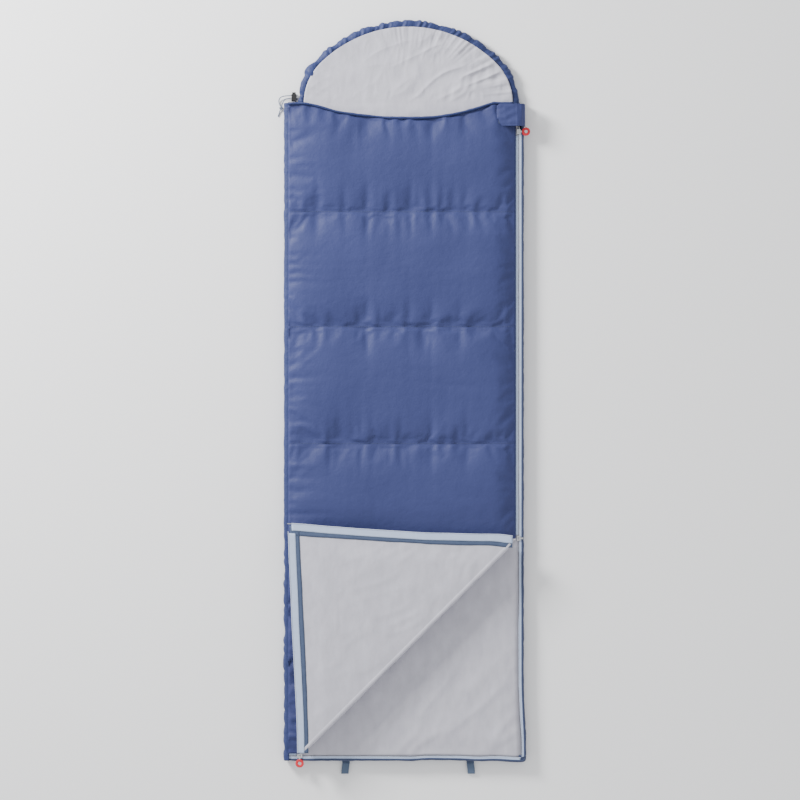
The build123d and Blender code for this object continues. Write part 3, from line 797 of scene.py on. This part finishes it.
@dataclass
class BaseQuilt:
    """The underside quilt: lining, bound edge, quilted shell on the floor and the closed left side."""

    plan: Layout
    step: float = 0.008
    lining_z: float = 0.0262
    corner_radius: float = 0.012
    edge_step: float = 0.004
    edge_gather: float = 0.0022
    side_gather: float = 0.0040

    def flare(self, points: Array) -> Array:
        """Let the loose lower right edge splay outwards, in a slow wave, below y = -0.85."""
        x, y = points[..., 0], points[..., 1]
        weight = ramp(-y, 0.85, 1.09) * ramp(x, 0.30, 0.345)
        moved = points.copy()
        moved[..., 0] += weight * (0.008 + 0.003 * ripple((y + 3) / 0.06, 52))
        moved[..., 2] += weight * 0.0012 * ripple((y + 3) / 0.045, 53)
        foot = ramp(-y, 1.055, 1.085) * ramp(x, -0.05, 0.08)
        moved[..., 1] += foot * (0.0075 * ripple((x + 3) / 0.075, 54) - 0.006 * ramp(x, 0.24, 0.35))
        return moved

    def lining(self) -> None:
        """The lining: flat under the cover, swollen with soft folds where the corner leaves it open."""
        plan = self.plan
        x = np.arange(-plan.half + 0.004, plan.zip_x - 0.001, self.step)
        x[-1] = plan.zip_x + 0.0016
        y = np.linspace(plan.zip_y - 0.0016, plan.neck - 0.0006, 243)
        x, y = np.meshgrid(x, y)
        edge = np.minimum(plan.zip_x - x, y - plan.zip_y)
        bare = ramp((x - plan.fold) - y, -0.05, 0.12)
        soft = creases(x, y, 0.15, 0.040, 0.8, 20) * 0.0018 + creases(x, y, 0.055, 0.020, 2.1, 23) * 0.0009
        ruche = (ripple((y + 3) / 0.011, 27) + ripple((x + 3) / 0.011, 28)) * np.exp(-edge / 0.014) * 0.0016
        z = self.lining_z + 0.0016 + soft + (ramp(edge, 0.0, 0.06) * 0.004 + soft + ruche) * bare
        z = np.where(edge < 0.002, self.lining_z, z)
        z = np.minimum(z, 0.0296 + 0.02 * bare) - 0.003 * ramp(y, plan.neck - 0.09, plan.neck - 0.06)
        cloth = sheet_piece("base_lining_cloth", self.flare(xyz(x, y, z)), LINING)
        put(cloth, "base", "lining_grey", "base_lining", "base_fill")

    def edge_path(self) -> Array:
        """Down the zip side, round the corner and along the foot, at even steps."""
        plan, r = self.plan, self.corner_radius
        side = np.arange(plan.neck, plan.foot + r, -self.edge_step)
        down = np.stack([np.full_like(side, plan.half), side], -1)
        turn = np.linspace(0, np.pi / 2, 7)
        centre = np.array([plan.half - r, plan.foot + r])
        bend = centre + r * np.stack([np.cos(turn), -np.sin(turn)], -1)
        foot = np.arange(plan.half - r - self.edge_step, -plan.half, -self.edge_step)
        across = np.stack([foot, np.full_like(foot, plan.foot)], -1)
        flat = np.concatenate([down, bend, across])
        return np.concatenate([flat, np.zeros((len(flat), 1))], 1)

    def bound_edge(self) -> None:
        """The bound edge and side wall: one ruched profile from the tape over the rim to the floor."""
        path = self.edge_path()
        corners = [
            (0.0070, 0.0303), (0.0055, 0.0316), (0.0028, 0.0318), (0.0006, 0.0298), (-0.0006, 0.0250),
            (-0.0012, 0.0170), (-0.0004, 0.0090), (0.0020, 0.0035), (0.0070, 0.0010), (0.0180, 0.0006),
            (0.0330, 0.0006),
        ]
        profile = smooth_profile(corners, 25)
        run = np.arange(len(path)) * self.edge_step
        pull = ripple(run / 0.014, 61) + 0.6 * ripple(run / 0.033, 62)
        round_wall = np.sin(np.linspace(0, np.pi, 25)) ** 1.5
        shape = np.broadcast_to(profile, (len(path), 25, 2)).copy()
        shape[..., 0] -= pull[:, None] * round_wall * self.edge_gather
        shape[..., 1] += ripple(run / 0.021, 63)[:, None] * round_wall * 0.0010
        points = along(path, shape, UP)[:, ::-1]
        points = np.maximum(self.flare(points), [-9, -9, 0.0005])
        # The edge wears the binding colour darkened as painted shade for the rim beside the tape.
        cloth = sheet_piece("base_edge_cloth", points, SHADED_BINDING)
        put(cloth, "base", "shell_blue", "base_side_binding", "base_foot_binding")

    def underside(self) -> None:
        """The quilted shell on the floor: seams stand 2.5 mm off it and the chambers rest on it."""
        plan = self.plan
        x = np.arange(-plan.half + 0.02, plan.half - 0.02, 0.012)
        y = np.arange(plan.foot + 0.02, plan.neck, 0.012)
        x, y = np.meshgrid(x, y)
        gap = np.min(np.abs(y[..., None] - plan.seams), -1)
        z = 0.0007 + 0.0025 * np.exp(-gap / 0.012)
        z = z + 0.0012 * np.abs(ripple((x + 2) / 0.03, 66)) * np.exp(-gap / 0.04)
        under = sheet_piece("base_shell_cloth", xyz(x, y, z)[:, ::-1], SHELL)
        put(under, "base", "shell_blue", "base_shell", "base_facing")
        x = np.linspace(plan.zip_x - 0.006, plan.half - 0.003, 7)
        y = np.linspace(plan.foot + 0.003, plan.zip_y + 0.006, 7)
        points = self.flare(xyz(x, y[:, None], 0.0286))
        put(sheet_piece("base_corner_tab", points, SHADED_BINDING), "base", "binding_blue")

    def left_side(self) -> None:
        """The closed left side: base and cover are one cloth there, strongly ruched towards the foot."""
        plan = self.plan
        y = np.arange(plan.foot + 0.001, plan.neck + 0.002, 0.004)
        corners = [
            (-0.330, 0.0007), (-0.346, 0.0007), (-0.3545, 0.0040), (-0.3580, 0.0130), (-0.3585, 0.0250),
            (-0.3578, 0.0370), (-0.3545, 0.0455), (-0.3490, 0.0492), (-0.3425, 0.0497),
        ]
        profile = smooth_profile(corners, 29)
        top = 0.0337 + 0.0080 * ramp(y, plan.cover_foot, plan.cover_foot + 0.036)
        points = xyz(profile[:, 0], y[:, None], profile[:, 1] * (top / 0.0493)[:, None])
        wall = np.sin(np.linspace(0, np.pi, 29)) ** 1.2
        slant = y[:, None] + np.linspace(-0.012, 0.012, 29)
        strong = 0.45 + 0.75 * ramp(-y, 0.30, 0.55)
        pull = (ripple((slant + 3) / 0.013, 81) + 0.7 * ripple((slant + 3) / 0.031, 82)) * strong[:, None]
        points[..., 0] -= pull * wall * self.side_gather
        points[..., 2] += ripple((slant + 3) / 0.017, 83) * wall * 0.0035 * strong[:, None]
        points[..., 2] = np.maximum(points[..., 2], 0.0006)
        cloth = sheet_piece("left_side_cloth", points, RUCHED_IN_SHADE)
        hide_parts("left_side_gusset")
        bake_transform(cloth)

    def neck_end(self) -> None:
        """The base's end under the hood, and a flat strip of shell that joins it to the hood's."""
        plan = self.plan
        x = np.linspace(-plan.half + 0.001, plan.half - 0.001, 90)
        z = np.linspace(0.0007, self.lining_z, 5)
        x, z = np.meshgrid(x, z)
        y = plan.neck - 0.0008 + 0.0006 * ripple((x + 2) / 0.02, 85)
        put(sheet_piece("base_end_cloth", xyz(x, y, z)[:, ::-1], SHELL), "base", "shell_blue")
        x = np.linspace(-0.300, 0.326, 80)
        y = np.linspace(plan.neck - 0.03, plan.neck + 0.035, 14)
        x, y = np.meshgrid(x, y)
        z = 0.0006 + 0.0006 * np.abs(ripple((x + 2) / 0.02, 86))
        bridge = sheet_piece("neck_shell_bridge", xyz(x, y, z)[:, ::-1], SHELL)
        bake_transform(bridge)

    def build(self) -> None:
        """Make every piece of the base."""
        self.lining()
        self.bound_edge()
        self.underside()
        self.left_side()
        self.neck_end()


@dataclass
class Hood:
    """The drawcord hood: lining, outer shell and the ruched rim channel."""

    plan: Layout
    half_width: float = 0.331
    height: float = 0.248
    centre_x: float = 0.013
    shoulder: float = 0.190
    rim_radius: float = 0.012
    rim_gather: float = 0.42
    lining_gather: float = 0.0050

    def outline(self, angle: Array, inset: float) -> Array:
        """Distance from the hood's centre to its three-arc outline in a direction.

        The ray meets a circle of centre c and radius r at d.c + sqrt((d.c)^2 - |c|^2 + r^2).
        """
        half, height, shoulder = self.half_width - inset, self.height - inset, self.shoulder - inset
        crown = (half**2 + height**2 - 2 * half * shoulder) / (2 * (height - shoulder))
        rise = math.atan2(crown - height, half - shoulder)
        meet = math.atan2(shoulder * math.sin(rise), half - shoulder + shoulder * math.cos(rise))
        cosine, sine = np.cos(angle), np.sin(angle)
        side = np.abs(cosine) * (half - shoulder)
        near = side + np.sqrt(side**2 - (half - shoulder) ** 2 + shoulder**2)
        lift = sine * (height - crown)
        over = lift + np.sqrt(lift**2 - (height - crown) ** 2 + crown**2)
        return np.where((angle < meet) | (angle > np.pi - meet), near, over)

    def half_disc(self, rows: int, cols: int, inset: float) -> tuple[Array, Array, Array]:
        """A rectangle bent to the half disc and scaled to the outline.

        x = s sqrt(1 - t^2/2), y = t sqrt(1 - s^2/2).
        """
        s, t = np.meshgrid(np.linspace(-1, 1, cols), np.linspace(0, 1, rows))
        u, v = s * np.sqrt(1 - t * t / 2), t * np.sqrt(1 - s * s / 2)
        radius = np.hypot(u, v)
        angle = np.arctan2(v, u)
        reach = self.outline(angle, inset) * radius
        x = self.centre_x + reach * np.cos(angle)
        y = self.plan.neck + 0.0006 + reach * np.sin(angle)
        return x, y, radius

    def lining(self) -> None:
        """The hood's lining: slack folds that run in from the gathered rim and rumples across it."""
        x, y, radius = self.half_disc(96, 150, self.rim_radius * 1.6)
        angle = np.arctan2(y - self.plan.neck, x - self.centre_x)
        rays = ripple((angle + 1) / 0.075, 101) + 0.7 * ripple((angle + 1) / 0.031, 102)
        gather = rays * ramp(radius, 0.62, 0.97) * self.lining_gather
        soft = creases(x, y, 0.11, 0.028, 0.5, 105) * 0.0042 + creases(x, y, 0.045, 0.015, 1.4, 108) * 0.0022
        strong = 0.5 + 0.9 * ramp(x, 0.0, 0.2)
        rise = ramp(radius, 0.86, 1.0) * 0.001
        z = 0.0275 + (gather + soft * ramp(1.0 - radius, 0.0, 0.08)) * strong + rise
        past = y - self.plan.neck
        z = np.where(y < self.plan.neck + 0.03, 0.0278 + (z - 0.0278) * ramp(past, 0.0, 0.03), z)
        points = xyz(x, y, z)
        back = np.linspace(0.062, 0.006, 10)[:, None]
        strip = np.broadcast_to(points[0], (10,) + points[0].shape).copy()
        strip[..., 1] -= back
        soft = 0.0020 * rumple(strip[..., 0] / 0.03 + 30, strip[..., 1] / 0.02, 112)
        strip[..., 2] = 0.0284 + soft * ramp(back, 0.0, 0.02)
        cloth = sheet_piece("hood_lining_cloth", np.concatenate([strip, points]), LINING)
        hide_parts("hood_lining")
        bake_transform(cloth)

    def shell(self) -> None:
        """The hood's outer shell, flat on the floor and drawn up to the rim."""
        x, y, radius = self.half_disc(44, 80, self.rim_radius)
        z = 0.0007 + 0.0045 * ramp(radius, 0.9, 1.0) + 0.0008 * np.abs(ripple((x + 2) / 0.03, 111))
        shell = sheet_piece("hood_shell_cloth", xyz(x, y, z)[:, ::-1], SHELL)
        put(shell, "hood", "shell_blue", "hood_shell", "hood_fill")

    def rim(self) -> None:
        """The rim channel: a tube on the outline, its radius gathered in uneven ridges across the run."""
        angle = np.linspace(-0.004, np.pi + 0.004, 520)
        reach = self.outline(np.clip(angle, 0, np.pi), self.rim_radius)
        x = self.centre_x + reach * np.cos(angle)
        y = self.plan.neck + 0.0006 + reach * np.sin(angle)
        path = np.stack([x, y, np.full_like(x, 0.0136)], -1)
        run = np.concatenate([[0], np.cumsum(np.linalg.norm(np.diff(path, axis=0), axis=1))])
        turn = full_turn(32)
        slant = run[:, None] + 0.004 * np.sin(turn + 0.7) + 0.003 * np.sin(2 * turn)
        ridge = ripple(slant / 0.0085, 121) * 0.9 + ripple(slant / 0.019, 122)
        ridge = ridge + 0.7 * ripple(slant / 0.05, 123)
        radius = self.rim_radius * (1.02 + self.rim_gather * ridge)
        narrow = 1 - 0.28 * ramp(run, run[-1] - 0.10, run[-1])
        width = radius * narrow[:, None]
        profile = np.stack([width * np.cos(turn) * 1.26 - 0.0028, width * np.sin(turn)], -1)
        points = along(path, profile, UP)
        points[..., 2] = np.maximum(points[..., 2], 0.0008)
        put(tube_piece("hood_rim_cloth", points[:, ::-1], RUCHED_IN_SHADE), "hood", "shell_blue", "hood_rim_channel")

    def build(self) -> None:
        """Make the hood."""
        self.lining()
        self.shell()
        self.rim()


class Edge(Enum):
    """The edge that a zip runs along."""

    SIDE = "side"
    FOOT = "foot"


@dataclass
class Zips:
    """Both zips: ridged coils and ribbed tapes, in halves on the base, the cover and the loose corner."""

    plan: Layout
    base: BaseQuilt
    split: float = 0.0008
    coil: float = 0.0026
    pitch: float = 0.0019
    lift: float = 0.0292
    facing: float = 0.0262
    facing_z: float = 0.0305
    room: float = 0.0095

    def line(self, edge: Edge, start: float, end: float, step: float) -> Array:
        """The zip's centre line, in a slight wave that dies out at the sliders."""
        plan = self.plan
        run = np.arange(start, end, step)
        held = np.ones_like(run)
        for stop in (plan.upper_y, plan.lower_y) if edge is Edge.SIDE else (plan.slider_x,):
            held *= ramp(np.abs(run - stop), 0.01, 0.07)
        loose = ramp(-run, 0.46, 0.56) if edge is Edge.SIDE else 1.0
        wave = (0.0012 + 0.0022 * loose) * ripple((run + 3) / 0.085, 130) * held
        height = np.full_like(run, self.lift) + 0.0006 * ripple((run + 3) / 0.05, 131) * held
        if edge is Edge.SIDE:
            return xyz(plan.zip_x + wave, run, height)
        return xyz(run, plan.zip_y - wave, height)

    def half(self, body: str, edge: Edge, start: float, end: float) -> None:
        """One half: a ridged coil beside the centre line and the tape outside it."""
        sign = 1 if body == "base" else -1
        fine = self.line(edge, start, end, self.pitch / 3)
        turn = full_turn(8)
        ridge = 0.00028 * np.cos(2 * np.pi * np.arange(len(fine)) / 3)[:, None]
        radius = self.coil / 2 - 0.0003 + ridge
        offset = self.split + self.coil / 2
        profile = np.stack([sign * offset + radius * np.cos(turn), radius * np.sin(turn)], -1)
        points = self.laid(body, along(fine, profile, UP))[:, ::-1]
        coil = tube_piece(f"{body}_{edge.value}_coil_teeth", points, COIL)
        put(coil, body, "zip_coil", f"{body}_{edge.value}_zip_coil")
        rough = self.line(edge, start, end, 0.005)
        low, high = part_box(f"{body}_{edge.value}_zip_tape")
        width = min(high.x - low.x, high.y - low.y)
        inner = self.split + self.coil - 0.0007
        across = np.linspace(inner, inner + width + 0.0007, 7)
        profile = np.stack([sign * across, np.full(7, 0.0002)], -1)
        points = along(rough, profile, UP)
        points[..., 2] += 0.0004 * ripple((rough[:, 1] + rough[:, 0] + 5) / 0.02, 133)[:, None]
        cloth = sheet_piece(f"{body}_{edge.value}_tape_cloth", self.laid(body, points), TAPE, 0.0007)
        put(cloth, body, "zip_tape", f"{body}_{edge.value}_zip_tape")

    def laid(self, body: str, points: Array) -> Array:
        """Closed places for the cover, splayed for the base, turned back for the corner."""
        if body == "corner":
            return self.plan.corner(points)
        return self.base.flare(points) if body == "base" else points

    def facings(self) -> None:
        """The slate strip between the tape and the lining, on the cover and on the corner."""
        plan = self.plan
        inner = plan.right - 0.0265
        parts = [
            ("cover", Edge.SIDE, inner - plan.fold + 0.03, plan.neck - 0.02),
            ("corner", Edge.SIDE, plan.cover_foot, plan.lower_y - self.room),
            ("corner", Edge.FOOT, plan.slider_x + self.room, plan.right),
        ]
        for body, edge, start, end in parts:
            run = np.arange(start, end, 0.005)
            wave = 0.0010 * ripple((run + 3) / 0.04, 141)
            across = np.linspace(0, self.facing, 6)
            inward = wave[:, None] * (1 - across / self.facing)
            height = self.facing_z + 0.0006 * ripple((run + 3) / 0.013, 142)[:, None]
            if edge is Edge.SIDE:
                at = xyz(inner + inward + across, run[:, None], height)
            else:
                at = xyz(run[:, None], plan.cover_foot + 0.0265 - inward - across, height)
            name = f"{body}_{edge.value}_facing_cloth"
            cloth = sheet_piece(name, self.laid(body, at)[:, ::-1], BINDING, 0.0007)
            put(cloth, body, "binding_blue", f"{body}_facing")

    def pin(self) -> None:
        """The insertion pin at the corner's tip: a bar with rounded ends that goes with the slack."""
        low, high = (np.array(place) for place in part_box("corner_zip_pin"))
        centre, half = (low + high) / 2, (high - low) / 2
        axis = int(np.argmax(half))
        beside = 1 - axis
        turn = full_turn(16)
        along_bar = np.linspace(-1, 1, 21)
        taper = (1 - np.abs(along_bar) ** 8) ** 0.35 * 0.85 + 0.15
        points = np.zeros((21, 16, 3))
        points[..., axis] = along_bar[:, None] * half[axis]
        for k, wave in ((beside, np.cos(turn)), (2, np.sin(turn))):
            points[..., k] = taper[:, None] * np.sign(wave) * np.abs(wave) ** 0.5 * half[k]
        points = self.plan.slack(points + centre)
        if axis == 1:
            points = points[:, ::-1]
        put(tube_piece("corner_zip_pin_bar", points, NICKEL), "corner", "slider_metal", "corner_zip_pin")

    def build(self) -> None:
        """Make every half, then the facings."""
        plan = self.plan
        for body in ("base", "cover", "corner"):
            for edge in Edge:
                low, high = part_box(f"{body}_{edge.value}_zip_coil")
                axis = int(edge is Edge.SIDE)
                start, end = low[axis], high[axis]
                if body == "corner":
                    shift = -plan.fold if edge is Edge.SIDE else plan.fold
                    start, end = low[1 - axis] + shift, high[1 - axis] + shift
                self.half(body, edge, start, end)
        self.facings()
        self.pin()



@dataclass
class DrawcordEnd:
    """The drawcord's two strands and their tied tails beyond the lock."""

    diameter: float = 0.003
    upper: tuple = (
        (-0.3176, 0.886, 0.0128), (-0.3576, 0.886, 0.0128), (-0.3736, 0.879, 0.006),
        (-0.3746, 0.863, 0.0026), (-0.368, 0.8525, 0.0046),
    )
    lower: tuple = (
        (-0.3176, 0.879, 0.0128), (-0.3536, 0.879, 0.0128), (-0.3626, 0.866, 0.007),
        (-0.3665, 0.8519, 0.0066),
    )
    tail: tuple = (
        (-0.369, 0.847, 0.0045), (-0.370, 0.8445, 0.0041), (-0.373, 0.835, 0.0022),
        (-0.377, 0.824, 0.0018),
    )
    knot_at: tuple = (-0.368, 0.848, 0.0048)

    def strand(self, name: str, route: tuple, node: str) -> bpy.types.Object:
        """A cord on a smooth line with the route's points as its control points."""
        curve = bpy.data.curves.new(name, "CURVE")
        curve.dimensions = "3D"
        line = curve.splines.new("NURBS")
        line.points.add(len(route) - 1)
        for point, place in zip(line.points, route):
            point.co = (*place, 1.0)
        line.order_u = 3
        line.use_endpoint_u = True
        line.resolution_u = 12
        curve.bevel_depth = self.diameter / 2
        curve.bevel_resolution = 4
        curve.use_fill_caps = True
        curve.materials.append(dressed(CORD))
        piece = bpy.data.objects.new(name, curve)
        bpy.context.scene.collection.objects.link(piece)
        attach(piece, "hood")
        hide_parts(node)
        return piece

    def knot(self) -> bpy.types.Object:
        """A tied overhand knot as a trefoil tube.

        x = sin a + 2 sin 2a, y = cos a - 2 cos 2a, z = -sin 3a.
        """
        a = full_turn(96)
        line = xyz(np.sin(a) + 2 * np.sin(2 * a), np.cos(a) - 2 * np.cos(2 * a), -np.sin(3 * a))
        line = line * [0.00135, 0.00135, 0.0013] + self.knot_at
        ahead = np.roll(line, -1, 0) - np.roll(line, 1, 0)
        ahead /= np.linalg.norm(ahead, axis=-1, keepdims=True)
        side = np.cross(ahead, line - np.array(self.knot_at) + [0, 0, 0.004])
        side /= np.linalg.norm(side, axis=-1, keepdims=True)
        up = np.cross(side, ahead)
        turn = full_turn(12)
        ring = np.cos(turn)[:, None] * side[:, None] + np.sin(turn)[:, None] * up[:, None]
        points = line[:, None] + 0.00145 * ring
        points[..., 2] = np.maximum(points[..., 2], 0.0003)
        faces = grid_faces(96, 12, round_rows=True, round_cols=True)[:, ::-1].tolist()
        return put(add_mesh("drawcord_knot", points, faces, CORD), "hood", "cord_blue", "cord_knot")

    def build(self) -> None:
        upper = self.strand("drawcord_upper", self.upper, "cord_strand_upper")
        lower = self.strand("drawcord_lower", self.lower, "cord_strand_lower")
        tail = self.strand("drawcord_tail", self.tail, "cord_tail")
        knot = self.knot()


@dataclass
class ClosureTab:
    """The tab that folds over the zip's top: two layers of shell cloth, stitched round."""

    y_low: float = 0.7905
    y_high: float = 0.8565
    crown: tuple = (
        (0.3600, 0.0325), (0.3612, 0.0400), (0.3592, 0.0500), (0.3500, 0.0585), (0.3360, 0.0626),
        (0.3180, 0.0630), (0.3000, 0.0628), (0.2860, 0.0618), (0.2767, 0.0606),
    )

    def build(self) -> None:
        """Sweep the crown line across, round the free edge's lower corner, and quilt it with its seams."""
        rows, cols = 60, 90
        line = smooth_profile(self.crown, cols)
        reach = np.linspace(0, 1, cols)
        t = np.linspace(0, 1, rows)[:, None]
        low = self.y_low + 0.022 * ramp(reach, 0.80, 1.0) ** 2
        high = self.y_high - 0.006 * ramp(reach, 0.90, 1.0) ** 2
        bow = line[:, 0] + 0.0015 * np.sin(np.pi * t) * ramp(reach, 0.5, 1.0) * -1
        points = xyz(bow, low * (1 - t) + high * t, line[:, 1])
        rim = np.minimum(np.minimum(t, 1 - t) * (self.y_high - self.y_low), (1 - reach) * 0.10)
        seam = np.exp(-(((rim - 0.0045) / 0.0009) ** 2))
        seam = seam + 0.8 * np.exp(-(((points[..., 0] - 0.331) / 0.001) ** 2))
        soft = rumple(points[..., 0] / 0.02, points[..., 1] / 0.012, 151) * 0.0042
        soft = soft - 0.0007 * seam + 0.0008 * ramp(rim, 0.0, 0.004)
        points[..., 2] += soft * ramp(reach, 0.1, 0.3)
        piece = sheet_piece("closure_tab_cloth", points[:, ::-1], SHELL, 0.0022)
        put(piece, "closure_tab", "shell_blue", "closure_tab")


@dataclass
class HangLoops:
    """Two webbing loops at the foot, each folded flat on itself, with bar tacks across."""

    reach: float = 0.042

    def build(self) -> None:
        """Each loop is one strip: out along the top, round the bend, and back underneath."""
        for name in ("left", "right"):
            low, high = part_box(f"hang_loop_{name}")
            root, tip = high.y, low.y
            bend = np.linspace(np.pi / 2, -np.pi / 2, 13)
            out = np.linspace(root + 0.006, tip + 0.005, 22)
            top = np.stack([out, np.linspace(0.0105, 0.0098, 22)], -1)
            back = np.stack([np.linspace(tip + 0.005, root + 0.006, 22), np.full(22, 0.0018)], -1)
            turn = np.stack([tip + 0.005 - 0.0045 * np.cos(bend), 0.0058 + 0.0040 * np.sin(bend)], -1)
            line = np.concatenate([top, turn[1:-1], back])
            across = np.linspace(low.x, high.x, 12)
            points = xyz(across, line[:, :1], line[:, 1:])
            sway = 0.0035 * (1 if name == "right" else -1)
            points[..., 0] += sway * ramp(root - points[..., 1], 0.0, self.reach)
            points[..., 2] += 0.0006 * ripple(points[..., 1] / 0.012 + 200, 161)
            strip = sheet_piece(f"hang_loop_{name}_webbing", points[::-1], WEBBING, 0.0014)
            put(strip, "base", "binding_blue", f"hang_loop_{name}")


@dataclass
class Hardware:
    """The CAD nodes that stay, each in its finish."""

    finishes: tuple = (
        (NICKEL, (
            "upper_slider_body", "upper_slider_pull", "lower_slider_body", "lower_slider_pull",
            "foot_slider_body", "foot_slider_pull", "base_zip_top_stop", "cord_eyelets",
        )),
        (RED, ("upper_slider_ring", "foot_slider_ring")),
        (BLACK, ("cord_lock_body", "cord_lock_plunger")),
        (CORD, ("hood_drawcord",)),
        (SPRING, ("cord_lock_spring",)),
        (HOOKS, ("tab_hook_patch", "cover_loop_patch")),
        (THREAD, ("bar_tacks_left", "bar_tacks_right")),
    )

    def dress(self, loaded: dict) -> None:
        """Give each node its finish."""
        for finish, names in self.finishes:
            for name in names:
                for holder in loaded["nodes"][name].material_slots:
                    holder.material = dressed(finish)


@dataclass
class Studio:
    """The camera straight above, the pale floor and the soft lamps."""

    eye: tuple = (-0.0119, -0.0238, 8.0)
    lens: float = 120.3

    def camera(self) -> None:
        """A long lens looking straight down, +Y up in the picture."""
        data = bpy.data.cameras.new("camera")
        data.lens, data.sensor_width = self.lens, 36.0
        data.clip_end = 100.0
        camera = bpy.data.objects.new("camera", data)
        camera.location = self.eye
        bpy.context.scene.collection.objects.link(camera)
        bpy.context.scene.camera = camera

    def floor(self) -> None:
        """A wide pale plane just under the bag."""
        mesh = bpy.data.meshes.new("floor")
        mesh.from_pydata([(-9, -9, 0), (9, -9, 0), (9, 9, 0), (-9, 9, 0)], [], [(0, 1, 2, 3)])
        mesh.materials.append(dressed(PlainFloor()))
        plane = bpy.data.objects.new("floor", mesh)
        bpy.context.scene.collection.objects.link(plane)

    def lamp(self, name: str, place: tuple, size: float, power: float) -> None:
        """A square area lamp aimed at the bag."""
        data = bpy.data.lights.new(name, "AREA")
        data.shape, data.size, data.energy = "SQUARE", size, power
        lamp = bpy.data.objects.new(name, data)
        lamp.location = place
        lamp.rotation_mode = "QUATERNION"
        aim = -lamp.location
        lamp.rotation_quaternion = aim.to_track_quat("-Z", "Y")
        bpy.context.scene.collection.objects.link(lamp)

    def world(self) -> None:
        """An even, bright surround."""
        world = bpy.data.worlds.new("studio")
        world.use_nodes = True
        back = world.node_tree.nodes["Background"]
        back.inputs["Color"].default_value = (0.97, 0.98, 1.0, 1.0)
        back.inputs["Strength"].default_value = 0.95
        bpy.context.scene.world = world

    def build(self) -> None:
        """Set the floor, the surround and two lamps: a key from the upper left and a weak fill."""
        self.floor()
        self.world()
        self.lamp("key", (-3.2, 2.6, 2.0), 1.2, 420.0)
        self.lamp("fill", (1.0, -2.5, 4.0), 3.0, 20.0)


def main() -> None:
    """Load the frame, make every piece, and finish."""
    logging.basicConfig(level=logging.INFO, format="%(message)s")
    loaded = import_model()
    FRAME.update({"joints": loaded["joints"]})
    studio = Studio()
    studio.camera()
    DrawcordEnd().build()
    plan = Layout()
    CoverQuilt(plan).build()
    base = BaseQuilt(plan)
    base.build()
    Hood(plan).build()
    Zips(plan, base).build()
    ClosureTab().build()
    HangLoops().build()
    Hardware().dress(loaded)
    studio.build()


if __name__ == "__main__":
    main()
